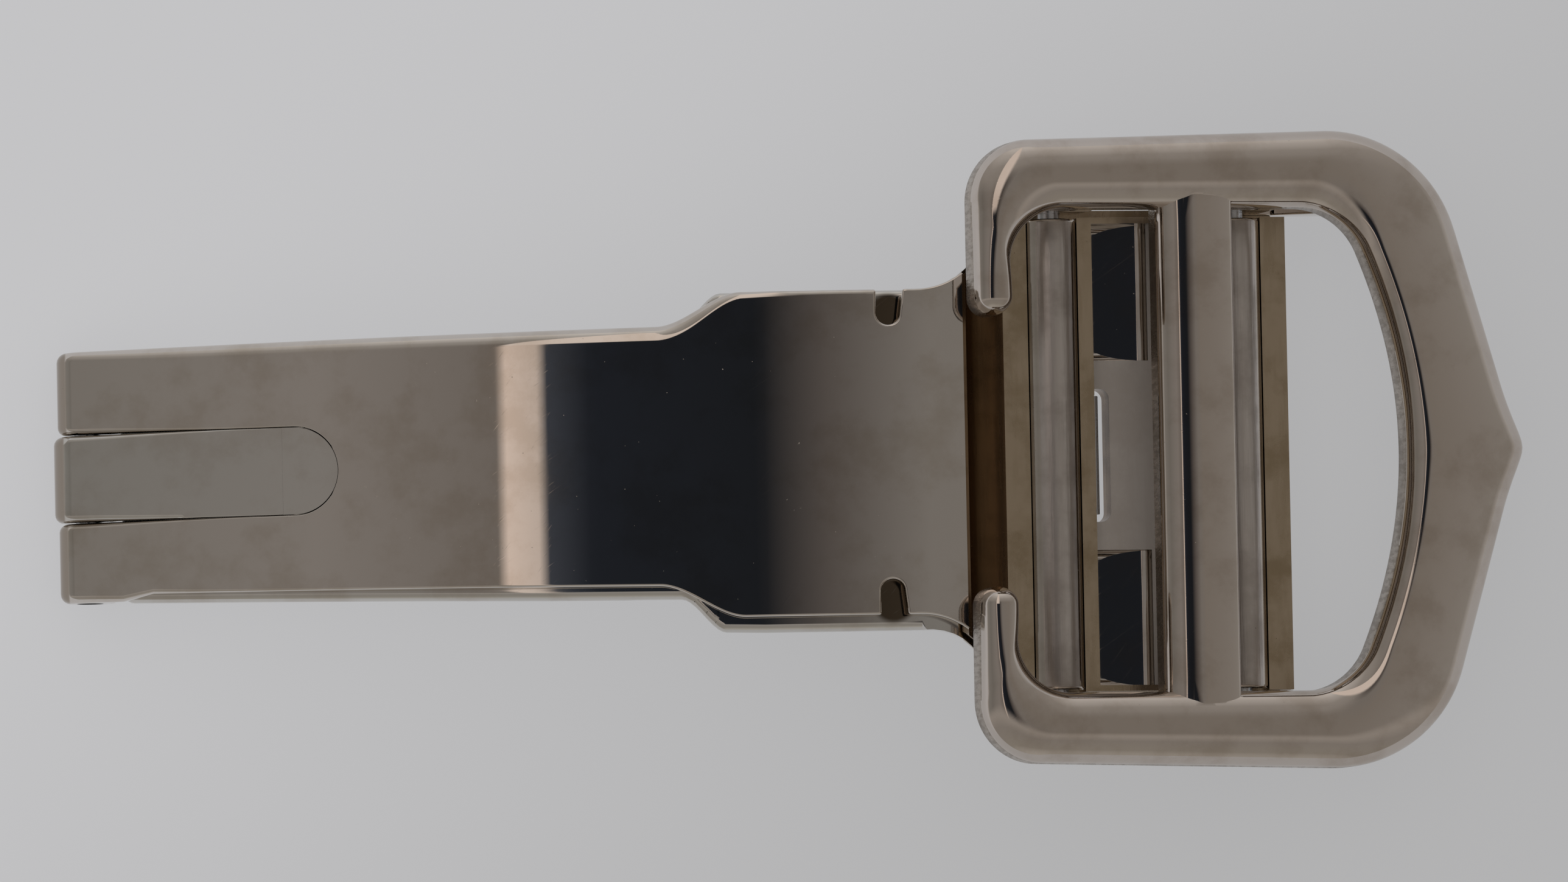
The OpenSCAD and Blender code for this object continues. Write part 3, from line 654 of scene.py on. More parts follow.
@dataclass
class Dresser:
    """Turns solids of the fixed frame into dressed pieces."""

    nodes: dict[str, Piece]
    finishes: dict[str, Material]

    def settle(self, piece: Piece, node: str, body: str, finish: str = "") -> None:
        """Finishes a piece, puts it on its body and hides the solid that it stands for.

        Args:
            piece: The piece, in millimetres.
            node: Name of the solid that it replaces, or nothing for a piece beside it.
            body: Name of the body that it rides on.
            finish: Name of its finish, or nothing where its faces are painted already.
        """
        piece.data.transform(Matrix.Scale(MM, 4))
        piece.data.update()
        if finish:
            piece.data.materials.clear()
            piece.data.materials.append(self.finishes[finish])
        if node:
            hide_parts(node)
        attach(piece, body)
        log.info("%s: %d faces, on %s", piece.name, len(piece.data.polygons), body)

    def paint(self, piece: Piece, finishes: tuple[str, ...],
              choose: Callable[[Vector, Vector], int]) -> None:
        """Gives a piece's faces one of several finishes.

        Args:
            piece: The piece, in millimetres.
            finishes: Names of the finishes, in order.
            choose: Gives a finish's number from a face's middle and direction, in the head frame.
        """
        piece.data.materials.clear()
        for finish in finishes:
            piece.data.materials.append(self.finishes[finish])
        for face in piece.data.polygons:
            face.material_index = choose(HEAD.to_local(face.center),
                                         HEAD.turned_local(face.normal))

    def softened(self, node: str, width: float) -> Piece:
        """Copies a solid, rounds its edges and keeps its broad faces flat.

        Args:
            node: Name of the solid.
            width: Width of the rounding, in millimetres.

        Returns:
            The piece, in millimetres.
        """
        piece = Workbench.copy_of(self.nodes[node], "dressed_" + node)
        Workbench.soften(piece, width, COPY_SEGMENTS)
        Workbench.smooth(piece)
        Workbench.modify(piece, "WEIGHTED_NORMAL", keep_sharp=True)
        return piece

    def soft_copies(self, nodes: tuple[str, ...], body: str, slot: str, width: float) -> None:
        """Replaces solids by copies with rounded edges, in the finish of their slot.

        Args:
            nodes: Names of the solids.
            body: Name of the body that they ride on.
            slot: Material slot of the record.
            width: Width of the rounding, in millimetres.
        """
        for node in nodes:
            self.settle(self.softened(node, width), node, body, slot)

    def dress(self, node: str, finish: str) -> None:
        """Gives a solid that stays as it is its finish."""
        solid = self.nodes[node]
        for place in solid.material_slots:
            place.material = self.finishes[finish]
        if not solid.material_slots:
            solid.data.materials.append(self.finishes[finish])
        log.info("%s keeps its solid", node)


@dataclass(frozen=True)
class Arch:
    """Sizes that the blades share, in the arch's frame: its centre is the origin (millimetres)."""

    hinge_x: float = -21.2
    knuckle: float = 1.0
    crest: float = 59.0
    round_step_deg: float = 6.0
    arch_step_deg: float = 0.5
    least_step: float = 0.1
    end_step: float = 0.8

    @property
    def hinge(self) -> Vector:
        """Returns the hinge's axis as X and height."""
        arm = self.crest - self.knuckle
        return Vector((self.hinge_x, sqrt(arm ** 2 - self.hinge_x ** 2)))

    @property
    def hinge_deg(self) -> float:
        """Returns how far the hinge lies from the crest, as an angle."""
        return degrees(asin(self.hinge_x / (self.crest - self.knuckle)))

    @staticmethod
    def turned_up(centre: Vector, radius: float, angle_deg: float) -> Vector:
        """Returns the point at an angle from straight up, clockwise."""
        angle = radians(angle_deg)
        return centre + radius * Vector((sin(angle), cos(angle)))

    @staticmethod
    def above(centre: Vector, radius: float, x: float) -> Vector:
        """Returns the top of a circle at a place along X."""
        return Vector((x, centre.y + sqrt(radius ** 2 - (x - centre.x) ** 2)))

    def arc(self, centre: Vector, radius: float, ends_deg: Pair, step_deg: float) -> list[Vector]:
        """Lists the points of an arc.

        Args:
            centre: Centre of the arc.
            radius: Radius of the arc.
            ends_deg: Angles of its ends from straight up.
            step_deg: Wished angle between two points.

        Returns:
            The points, in order.
        """
        start, end = ends_deg
        count = max(2, round(abs(end - start) / step_deg))
        return [self.turned_up(centre, radius, start + (end - start) * i / count)
                for i in range(count + 1)]

    def side_view(self, outer: tuple[Vector, float], round_r: float, under_r: float, lean: float,
                  upper: list[float], lower: list[float]) -> list[Vector]:
        """Draws a blade's side view: the arch, the knuckle at its left end, and the underside.

        Args:
            outer: Centre and radius of the upper arch.
            round_r: Radius of the knuckle.
            under_r: Radius of the underside about the arch's own centre.
            lean: How far the upper arch is turned about the hinge, in degrees.
            upper: Places along X of the upper arch's corners, in order.
            lower: Places along X of the underside's corners, in order.

        Returns:
            The outline's corners as X and height.
        """
        start = self.hinge_deg + lean
        arm = self.crest - self.knuckle
        share = (arm ** 2 + round_r ** 2 - under_r ** 2) / (2 * arm * round_r)
        meet = self.hinge_deg + 180 - degrees(acos(share)) - 360
        first = self.turned_up(*outer, start).x
        last = self.turned_up(self.hinge, round_r, meet).x
        top = [self.above(*outer, x) for x in reversed(upper) if x > first + self.least_step]
        under = [self.above(Vector((0, 0)), under_r, x)
                 for x in lower if x > last + self.least_step]
        return top + self.arc(self.hinge, round_r, (start, meet), self.round_step_deg) + under

    @staticmethod
    def across(points: list[Vector], half: float, name: str) -> Piece:
        """Extrudes a side view across the strap, from one side to the other."""
        return Workbench.prism(name, [Vector((p.x, -half, p.y)) for p in points],
                               Vector((0, 2 * half, 0)))


ARCH = Arch()


@dataclass(frozen=True)
class SlotCut:
    """The space of the cover blade's slot, or of the tongue within it: square at the hinge."""

    half: float = 1.5
    end_x: float = -12.6
    reach: float = 12.0
    depth: float = 4.0
    height: float = 7.0
    round_steps: int = 32

    def tool(self) -> Piece:
        """Builds the space.

        Returns:
            The space, in the frame of the arch.
        """
        turn = radians(ARCH.hinge_deg)
        along, up = Vector((cos(turn), 0, -sin(turn))), Vector((sin(turn), 0, cos(turn)))
        end = Vector((self.end_x, 0, sqrt(ARCH.crest ** 2 - self.end_x ** 2)))
        centre = end - along * self.half - up * self.depth
        outline = [centre - along * self.reach + Vector((0, side * self.half, 0))
                   for side in (1, -1)]
        for share in ticks(self.round_steps):
            angle = pi * (share - 0.5)
            outline.append(centre + along * self.half * cos(angle)
                           + Vector((0, self.half * sin(angle), 0)))
        return Workbench.prism("slot", outline, up * self.height)


SLOT = SlotCut()


@dataclass
class CoverBlade:
    """The outer blade, shaped from its own sizes: its knuckles and edges are truly round."""

    thick: float = 0.9
    hinge_half: float = 4.15
    waist_half: float = 4.4
    wide_half: float = 5.5
    left_over: float = 2.0
    blank_share: float = 1.3
    shoulder: Pair = (-1.8, 1.1)
    shoulder_steps: int = 24
    slot_round: Pair = (-14.35, -12.25)
    slot_steps: int = 14
    waist_steps: int = 20
    wide_steps: int = 8
    notch_span: Pair = (5.3, 6.85)
    notch_x: float = 6.05
    notch_r: float = 0.4
    notch_y: float = 4.7
    notch_run: float = 0.1
    notch_clear: float = 0.1
    notch_steps: int = 16
    flare_x: float = 7.0
    flare_r: float = 2.5
    flare_step: float = 0.15
    flare_steps: int = 15
    up_shift: float = 0.15
    low_shift: float = 0.18
    right_end: float = -6.32
    end_clear: float = 0.02
    pin: float = 0.45
    pin_round: float = 1.3
    pin_ends_deg: Pair = (0, 354)
    edge: float = 0.56
    knuckle_edge: float = 0.34
    knuckle_half: float = 4.38
    knuckle_steps: tuple[int, int] = (3, 5)
    long_edge: float = 0.16
    band_edge: float = 0.52
    low_edge: float = 0.08
    under_edge: float = 0.1
    under_x: float = 0.5
    slot_edge: float = 0.04
    slot_share: float = 0.8
    slot_power: float = 1.5
    notch_edge: float = 0.08
    soft_x: Pair = (-21.2, -16.4)
    band_x: Pair = (-0.6, 1.6)
    plan_z: Pair = (0.85, 0.2)

    @property
    def start(self) -> float:
        """Returns where the upper arch begins along X."""
        return ARCH.crest * sin(radians(ARCH.hinge_deg))

    def plan(self) -> list[Vector]:
        """Draws the blade's outline seen from above.

        Returns:
            The corners, in the frame of the arch.
        """
        left = ARCH.hinge_x - self.left_over
        edge = [Vector((blend(*self.shoulder, share),
                        blend(self.waist_half, self.wide_half, eased(share))))
                for share in ticks(self.shoulder_steps)]
        edge.append(Vector((self.notch_x - self.notch_r, self.wide_half)))
        for share in ticks(self.notch_steps):
            angle = pi * (1 + share)
            edge.append(Vector((self.notch_x + self.notch_r * cos(angle),
                                self.notch_y + self.notch_r * sin(angle))))
        edge.append(Vector((self.notch_x + self.notch_r + self.notch_run, self.wide_half)))
        for i in range(self.flare_steps):
            out = self.flare_step * i
            flare = self.flare_r - sqrt(self.flare_r ** 2 - out ** 2)
            edge.append(Vector((self.flare_x + out, self.wide_half + flare)))
        steps = self.stations(self.start, self.right_end)
        first, last = (steps[i] for i in self.knuckle_steps)
        low = [Vector((left, self.knuckle_half)), Vector((first, self.knuckle_half)),
               Vector((last, self.hinge_half)), *edge]
        high = [Vector((left, self.hinge_half)), *edge]
        return ([Vector((p.x, p.y + self.up_shift)) for p in high]
                + [Vector((p.x, self.low_shift - p.y)) for p in reversed(low)])

    def stations(self, start: float, end: float) -> list[float]:
        """Lists the places along X where the arch has a corner, in step with the outline.

        Args:
            start: First place.
            end: Last place.

        Returns:
            The places, in order.
        """
        found = [*places(start, self.slot_round[0], self.slot_steps), self.slot_round[0],
                 *places(self.slot_round[1], self.shoulder[0], self.waist_steps),
                 *places(*self.shoulder, self.shoulder_steps),
                 *places(self.shoulder[1], self.notch_span[0], self.wide_steps), *self.notch_span,
                 *(self.flare_x + self.flare_step * i for i in range(self.flare_steps))]
        return [x for x in found if x < end - ARCH.least_step * ARCH.end_step] + [end]

    def share(self, middle: Vector, run: Vector) -> float:
        """Returns the part of the rounding that an edge gets: the left end is the softest.

        Args:
            middle: The edge's middle, in the frame of the arch.
            run: The edge's direction.

        Returns:
            The part, from 0 to 1.
        """
        at_hinge = hypot(middle.x - ARCH.hinge.x, middle.z - ARCH.hinge.y)
        narrow = middle.x < self.shoulder[0]
        at_end = middle.x * cos(HEAD.tilt) - middle.z * sin(HEAD.tilt)
        if (at_hinge < self.pin * self.pin_round or abs(run.y) > CROSSWISE and narrow
                or at_end > self.right_end - self.end_clear):
            return 0.0
        near = part_of(middle.x, self.soft_x[1], self.soft_x[0])
        least, ease = self.low_edge, near ** 2
        if abs(middle.y) < self.hinge_half / 2 and narrow:
            least, ease = self.slot_edge, near ** self.slot_power * self.slot_share
        elif middle.x > self.notch_x - self.notch_r - self.notch_clear:
            return self.notch_edge / self.edge
        elif (middle.x > ARCH.hinge_x + self.under_x
              and hypot(middle.x, middle.z) < ARCH.crest - self.thick / 2):
            least = self.under_edge
        elif middle.y > 0:
            least = blend(self.long_edge, self.band_edge,
                          part_of(middle.x, self.band_x[1], self.band_x[0]))
        return blend(least, self.knuckle_edge, ease) / self.edge

    def build(self, dresser: Dresser) -> None:
        """Builds the blade."""
        under = ARCH.crest - self.thick
        upper, lower = (self.stations(self.start, r * sin(HEAD.tilt + asin(self.right_end / r)))
                        for r in (ARCH.crest, under))
        view = ARCH.side_view((Vector((0, 0)), ARCH.crest), ARCH.knuckle, under, 0.0, upper, lower)
        piece = ARCH.across(view, self.wide_half * self.blank_share, "dressed_cover_blade")
        low, height = (ARCH.crest * share for share in self.plan_z)
        plan = Workbench.prism("plan", [Vector((p.x, p.y, low)) for p in self.plan()],
                               Vector((0, 0, height)))
        hole = ARCH.arc(ARCH.hinge, self.pin, self.pin_ends_deg, ARCH.round_step_deg)
        Workbench.combine(piece, plan, "INTERSECT")
        Workbench.combine(piece, SLOT.tool(), "DIFFERENCE")
        Workbench.combine(piece, ARCH.across(hole, self.wide_half, "hole"), "DIFFERENCE")
        Workbench.round_arched(piece, self.edge, self.share)
        dresser.settle(piece, "cover_blade", "cover", "polished_steel")


@dataclass
class Tongue:
    """The inner blade's tongue: the middle knuckle and the pad that fills the slot."""

    knuckle: float = 1.14
    proud: float = 0.14
    sunk: float = 0.04
    root: float = 57.3
    root_rise: float = 0.6
    root_x: float = 0.5
    half: float = 1.465
    clear: float = 0.04
    edge: float = 0.3
    pad_share: float = 0.07
    pad_power: float = 1.5
    pad_steps: int = 12
    round_x: Pair = (-14.5, -12.0)
    soft_x: Pair = (-21.2, -16.2)

    def share(self, middle: Vector, run: Vector) -> float:
        """Returns the part of the rounding that an edge gets: the knuckle is the softest."""
        if abs(run.y) > CROSSWISE and middle.x < self.soft_x[1] or middle.x > self.round_x[0]:
            return 0.0
        if (middle.z < sqrt(self.root ** 2 - middle.x ** 2) + self.root_rise
                and middle.x > self.soft_x[0] + self.root_x):
            return 0.0
        return blend(self.pad_share, 1,
                     part_of(middle.x, self.soft_x[1], self.soft_x[0]) ** self.pad_power)

    def build(self, dresser: Dresser) -> None:
        """Builds the tongue."""
        lean = atan((self.proud + self.sunk) / (SLOT.end_x - ARCH.hinge_x))
        centre = ARCH.hinge + Matrix.Rotation(-lean, 2) @ (-ARCH.hinge)
        steps = [*places(ARCH.hinge_x, self.round_x[0], self.pad_steps), *self.round_x]
        view = ARCH.side_view((centre, ARCH.crest + self.proud), self.knuckle, self.root,
                              degrees(lean), steps, steps)
        piece = ARCH.across(view, self.half, "dressed_tongue")
        Workbench.combine(piece, SlotCut(self.half, SLOT.end_x - self.clear).tool(), "INTERSECT")
        Workbench.round_arched(piece, self.edge, self.share)
        dresser.settle(piece, "", "inner", "inner_steel")


@dataclass
class Blades:
    """The two arched blades, their hinge pin, the strap lugs and the catch."""

    inner_edge: float = 0.32
    inner_segments: int = 4
    inner_soft_deg: float = 40.0
    head_x: float = -6.1
    pin_r: float = 0.44
    pin_edge: float = 0.05
    pin_ends: Pair = (-3.95, 4.05)
    rim_share: float = 0.75
    rim_top: float = 57.5
    rim_half: float = 4.0
    rim_turn: float = 0.75
    rim_x: Pair = (-19.9, 7.0)
    rim_y: float = -3.9
    rim_least: float = -0.12
    rim_grow: tuple[Triple, ...] = ((0.17, -20.0, -6.0), (0.08, -1.0, 1.5))
    rim_fade: Pair = (7.0, 8.3)
    bed_r: float = 57.5
    bed_end: float = -20.0
    bed_over: float = 0.3
    bed_side: float = 0.02
    bed_height: float = 6.0
    bed_left: float = 3.0
    lug_edge: float = 0.08
    catch_edge: float = 0.02
    rivet_edge: float = 0.05

    def inner_share(self, middle: Vector, run: Vector) -> float:
        """Returns the part of the rounding that an edge gets: only the rim's long edges get it."""
        place = middle - HEAD.centre
        if (abs(run.y) >= self.rim_turn or abs(place.y) <= self.rim_half
                or not self.rim_x[0] < place.x < self.rim_x[1]):
            return 0.0
        on_top = place.y < 0 and hypot(place.x, place.z) > self.rim_top
        return 1.0 if on_top else self.rim_share

    def shift_rim(self, piece: Piece) -> None:
        """Draws the lower rim out: on the worn hinge the inner blade sits a little to that side.

        Args:
            piece: The inner blade, in millimetres.
        """
        for vertex in piece.data.vertices:
            along = vertex.co.x - HEAD.arch_x
            if vertex.co.y > self.rim_y or along > self.rim_fade[1]:
                continue
            grow = sum(size * part_of(along, low, high) for size, low, high in self.rim_grow)
            vertex.co.y -= (self.rim_least + grow) * part_of(along, *reversed(self.rim_fade))

    def inner_blade(self, dresser: Dresser) -> None:
        """Builds the inner blade without its tongue, which is a piece of its own."""
        piece = Workbench.copy_of(dresser.nodes["inner_blade"], "dressed_inner_blade")
        ends = (degrees(asin(self.bed_end / self.bed_r)),
                degrees(asin((SLOT.end_x + self.bed_over) / self.bed_r)))
        bed = ARCH.arc(Vector((0, 0)), self.bed_r, ends, ARCH.arch_step_deg)
        left = ARCH.hinge_x - self.bed_left
        corners = [Vector((self.bed_end, bed[0].y - self.bed_height)), *bed,
                   bed[-1] + Vector((0, self.bed_height)),
                   Vector((left, bed[-1].y + self.bed_height)),
                   Vector((left, bed[0].y - self.bed_height))]
        space = ARCH.across(corners, SLOT.half - self.bed_side, "tongue_space")
        Workbench.place_arch(space)
        Workbench.combine(piece, space, "DIFFERENCE")
        self.shift_rim(piece)
        Workbench.soften(piece, self.inner_edge, self.inner_segments, self.inner_soft_deg,
                         self.inner_share)
        Workbench.smooth(piece)
        Workbench.arch_shading(piece)
        dresser.paint(piece, ("inner_steel", "milled_steel"),
                      lambda middle, direction: 1 if middle.x > self.head_x else 0)
        dresser.settle(piece, "inner_blade", "inner")

    def hinge_pin(self, dresser: Dresser) -> None:
        """Builds the hinge pin, whose ends lie flush with the cover's two knuckles."""
        low, high = self.pin_ends
        face = self.pin_r - self.pin_edge
        piece = Workbench.turned("dressed_hinge_pin", [
            (low, 0.0), (low, face), (low + self.pin_edge, self.pin_r),
            (high - self.pin_edge, self.pin_r), (high, face), (high, 0.0)])
        piece.data.transform(Matrix.Translation((ARCH.hinge.x, 0, ARCH.hinge.y)))
        Workbench.place_arch(piece)
        Workbench.smooth(piece)
        dresser.settle(piece, "fold_hinge_pin", "cover", "spring_steel")

    def build(self, dresser: Dresser) -> None:
        """Builds the blades and what they carry."""
        CoverBlade().build(dresser)
        self.inner_blade(dresser)
        Tongue().build(dresser)
        dresser.soft_copies(("strap_lug_left", "strap_lug_right"), "inner", "polished_steel",
                            self.lug_edge)
        self.hinge_pin(dresser)
        dresser.soft_copies(("catch_spring",), "catch", "spring_steel", self.catch_edge)
        dresser.soft_copies(("catch_rivets",), "inner", "spring_steel", self.rivet_edge)


@dataclass
class Saddle:
    """The milled block that carries the bars."""

    edge: float = 0.035
    recess_half: float = 1.84
    recess_end: float = 7.82
    recess_drop: float = -0.35
    half: float = 4.95
    wall_clear: float = 0.02
    wall_drop: float = -0.33
    web_half: float = 3.22
    web_low: float = -1.0
    level: float = 0.9
    downward: float = -0.3
    upward: float = 0.02

    def finish_of(self, middle: Vector, direction: Vector) -> int:
        """Returns the finish of a face: 0 milled, 1 polished recess, 2 cove with painted shade, 3
        satin web.
        """
        if direction.z < self.downward:
            return 0
        if middle.z < self.recess_drop and abs(middle.x) < self.recess_half:
            if abs(middle.y) < self.web_half:
                return 3 if direction.z > self.level and middle.z > self.web_low else 2
            if abs(middle.y) < self.recess_end:
                return 1
        # The cove gets the dark finish, its painted shade.
        cove = (middle.x < self.wall_clear - self.half and middle.z < self.wall_drop
                and direction.z > self.upward)
        return 2 if cove else 0

    def build(self, dresser: Dresser) -> None:
        """Builds the saddle."""
        piece = dresser.softened("saddle_block", self.edge)
        dresser.paint(piece, ("milled_steel", "recess_steel", "tarnished_shaded_cove_steel", "web_steel"),
                      self.finish_of)
        dresser.settle(piece, "saddle_block", "cover")


@dataclass
class SpringBars:
    """The two spring bars: turned tubes, with their tips and coil springs."""

    bar_x: float = 3.2
    bar_drop: float = 0.65
    radius: float = 0.94
    half: float = 7.95
    bore: float = 0.41
    inner_r: float = 0.60
    neck_l: float = 0.45
    edge: float = 0.12
    edge_steps: int = 4
    worn_deg: float = 39.0
    worn_side: float = 0.3

    def profile(self) -> list[Pair]:
        """Returns the tube's profile, from the bore of one end round to the bore of the other."""
        neck = self.half - self.neck_l
        right = [(self.half - self.edge * (1 - sin(radians(90 * share))),
                  self.radius - self.edge * (1 - cos(radians(90 * share))))
                 for share in ticks(self.edge_steps)]
        outer = [(-y, r) for y, r in reversed(right)] + right
        return [(-neck, self.inner_r), (-neck, self.bore), (-self.half, self.bore), *outer,
                (self.half, self.bore), (neck, self.bore), (neck, self.inner_r),
                (-neck, self.inner_r)]

    def build(self, dresser: Dresser) -> None:
        """Builds both bars."""
        for name, bar_x in (("front", -self.bar_x), ("rear", self.bar_x)):
            tube = Workbench.turned(f"dressed_{name}_bar_tube", self.profile())
            tube.data.transform(Matrix.Translation((bar_x, 0, -self.bar_drop)))
            tube.data.transform(HEAD.matrix())
            Workbench.smooth(tube)

            def finish_of(middle: Vector, direction: Vector) -> int:
                """Returns 1 for the worn band along the top of the bar, and 0 elsewhere."""
                lean = degrees(atan2(middle.x - bar_x, middle.z + self.bar_drop))
                return 1 if abs(lean) < self.worn_deg and abs(direction.y) < self.worn_side else 0

            dresser.paint(tube, ("bar_steel", "worn_bar_steel"), finish_of)
            dresser.settle(tube, f"{name}_bar_tube", f"{name}_bar")
            for solid in ("tip_left", "tip_right", "bar_spring"):
                dresser.dress(f"{name}_{solid}", "spring_steel")


@dataclass
class BuckleFrame:
    """The D-shaped frame: a domed section swept round its outline, with a cross bar and four ears.

    The sizes are those of the solid, in the head frame's millimetres.
    """

    lift: float = 1.2
    thick: float = 1.865
    outer_wall: float = 0.85
    inner_wall: float = 1.05
    low_edge: float = 0.14
    low_most: float = 0.3
    low_turns_deg: tuple[int, ...] = (0, 30, 60, 90)
    hook_x: float = -6.6
    hook_w: float = 1.28
    hook_gap: float = 4.55
    corner_r: float = 2.1
    corner_in_r: float = 1.87
    arm_in: float = 8.15
    arm_w: float = 2.35
    arm_flare: float = 0.25
    point_x: float = 12.39
    bow_x: float = 8.35
    bow_r: float = 16.0
    bow_corner_r: float = 4.6
    bow_inner_r: float = 2.4
    crest_hook: float = 0.62
    crest_arm: float = 0.52
    crest_bow: float = 0.80
    leg_slope: float = 0.29
    point_bump: float = 0.28
    point_bump_l: float = 2.2
    point_soft: float = 0.35
    cross_x: float = -0.18
    cross_w: float = 2.5
    cross_wall: float = 0.75
    cross_right: float = 1.45
    cross_sunk: float = 0.18
    cross_slope: float = 0.84
    cross_facet: float = 0.32
    cross_turn_deg: float = 77.0
    cross_steps: int = 24
    dome_steps: int = 16
    bow_steps: int = 40
    arm_steps: int = 24
    hook_steps: int = 8
    tip_steps: int = 15
    tip_step_deg: float = 6.1
    hook_fullness: float = 0.4
    ear_edge: float = 0.06
    smooth_deg: float = 32.0
    upright: float = 0.12

    def leg_x(self, y: float) -> float:
        """Returns the outer edge of the point's legs at a distance from the middle."""
        soft = sqrt(y * y + self.point_soft ** 2)
        bump = self.point_bump * (1 - min(soft, self.point_bump_l) / self.point_bump_l) ** 2
        return self.point_x - self.leg_slope * soft + bump

    def bow_edge(self, y: float) -> float:
        """Returns the inner edge of the bow at a distance from the middle."""
        return self.bow_x - y * y / (2 * self.bow_r)

    def stations(self) -> list[tuple[Vector, Vector, float, float]]:
        """Lists the sections of the upper half, from the point to a hook.

        Returns:
            For each its outer and inner places, the share where the dome is highest, its height.
        """
        arm_out = self.arm_in + self.arm_w
        arm_end = arm_out + self.arm_flare
        leg_deg = degrees(atan(self.leg_slope))
        corner_y = arm_end - self.bow_corner_r
        leg_top = corner_y + self.bow_corner_r * sin(radians(leg_deg))
        corner_x = self.leg_x(leg_top) - self.bow_corner_r * cos(radians(leg_deg))
        in_y = self.arm_in - self.bow_inner_r
        in_deg = degrees(atan(in_y / self.bow_r))
        bow_top = in_y + self.bow_inner_r * sin(radians(in_deg))
        in_x = self.bow_edge(bow_top) - self.bow_inner_r * cos(radians(in_deg))
        hook_out = Vector((self.hook_x + self.corner_r, arm_out - self.corner_r))
        hook_end = self.hook_x + self.hook_w
        hook_in = Vector((hook_end + self.corner_in_r, self.arm_in - self.corner_in_r))
        tip_r = self.hook_w / 2
        found = [(Vector((self.leg_x(t * leg_top), t * leg_top)),
                  Vector((self.bow_edge(t * bow_top), t * bow_top)), self.crest_bow, 1.0)
                 for t in ticks(self.bow_steps)]
        for t in ticks(self.arm_steps)[1:]:
            found.append((
                Vector((corner_x, corner_y)) + polar(self.bow_corner_r, blend(leg_deg, 90, t)),
                Vector((in_x, in_y)) + polar(self.bow_inner_r, blend(in_deg, 90, t)),
                blend(self.crest_bow, self.crest_arm, eased(t)), 1.0))
        for t in ticks(self.arm_steps)[1:-1]:
            found.append((Vector((blend(corner_x, hook_out.x, t), blend(arm_end, arm_out, t))),
                          Vector((blend(in_x, hook_in.x, t), self.arm_in)), self.crest_arm, 1.0))
        for t in ticks(self.arm_steps):
            found.append((hook_out + polar(self.corner_r, blend(90, 180, t)),
                          hook_in + polar(self.corner_in_r, blend(90, 180, t)),
                          blend(self.crest_arm, self.crest_hook, eased(t)), 1.0))
        straight = self.hook_gap + tip_r
        for t in ticks(self.hook_steps)[1:-1]:
            found.append((Vector((self.hook_x, blend(hook_out.y, straight, t))),
                          Vector((hook_end, blend(hook_in.y, straight, t))), self.crest_hook, 1.0))
        for i in range(self.tip_steps):
            angle = radians(self.tip_step_deg * i)
            y = self.hook_gap + tip_r * (1 - sin(angle))
            inset = tip_r * (1 - cos(angle))
            found.append((Vector((self.hook_x + inset, y)), Vector((hook_end - inset, y)),
                          self.crest_hook, (1 + cos(angle)) / 2))
        return found

    def section(self, station: tuple[Vector, Vector, float, float], mirror: float) -> list[Vector]:
        """Draws the frame's section at one station.

        Args:
            station: Its outer and inner places, crest share and height.
            mirror: 1 for the upper half, -1 for the lower.

        Returns:
            The section's points in the clasp's frame, in millimetres.
        """
        outer, inner, crest, height = station
        span = inner - outer
        low = min(self.low_edge / span.length, self.low_most)
        foot = [(low * (1 - sin(radians(a))), self.low_edge * (1 - cos(radians(a))))
                for a in self.low_turns_deg]
        power = 1 / (1 + self.hook_fullness * part_of(span.length, self.arm_w, self.hook_w))
        rise = [(sin(pi / 2 * t) ** power, abs(cos(pi / 2 * t)) ** power)
                for t in ticks(self.dome_steps)]
        flat = [*foot,
                *((crest * (1 - c), blend(self.outer_wall, self.thick, s)) for s, c in rise),
                *((blend(crest, 1, s), blend(self.inner_wall, self.thick, c))
                  for s, c in rise[1:]),
                *((1 - share, up) for share, up in reversed(foot))]
        points = []
        for share, up in flat:
            place = outer + span * share
            points.append(HEAD.to_world(place.x, mirror * place.y, self.lift + up * height))
        return points

    def cross_bar(self) -> Piece:
        """Builds the cross bar, a little longer than the gap between the arms.

        Returns:
            The bar, in millimetres.
        """
        ridge = self.lift + self.thick - self.cross_sunk
        wall = self.lift + self.cross_wall
        right_wall = self.lift + self.cross_right
        drop = self.cross_facet * tan(HEAD.tilt)
        turn = radians(self.cross_turn_deg)
        crest_x = self.cross_x + self.cross_slope + self.cross_facet
        end_x = self.cross_x + self.cross_w
        shares = ticks(self.dome_steps)[1:]
        line = [(self.cross_x, self.lift), (self.cross_x, wall),
                *((self.cross_x + self.cross_slope * (1 - cos(turn * t)) / (1 - cos(turn)),
                   wall + (ridge - drop - wall) * sin(turn * t) / sin(turn)) for t in shares),
                (crest_x, ridge),
                *((blend(crest_x, end_x, sin(pi / 2 * t)),
                   blend(right_wall, ridge, cos(pi / 2 * t))) for t in shares),
                (end_x, self.lift)]
        end = self.arm_in + self.arm_w * (1 - self.crest_arm)
        return Workbench.swept("cross_bar", [
            [HEAD.to_world(x, blend(-end, end, t), z) for x, z in line]
            for t in ticks(self.cross_steps)])

    def finish_of(self, middle: Vector, direction: Vector) -> int:
        """Returns 1 for the upright walls, which keep cutting marks and get painted shade, and 0
        for the dome.
        """
        return 1 if abs(direction.z) < self.upright else 0

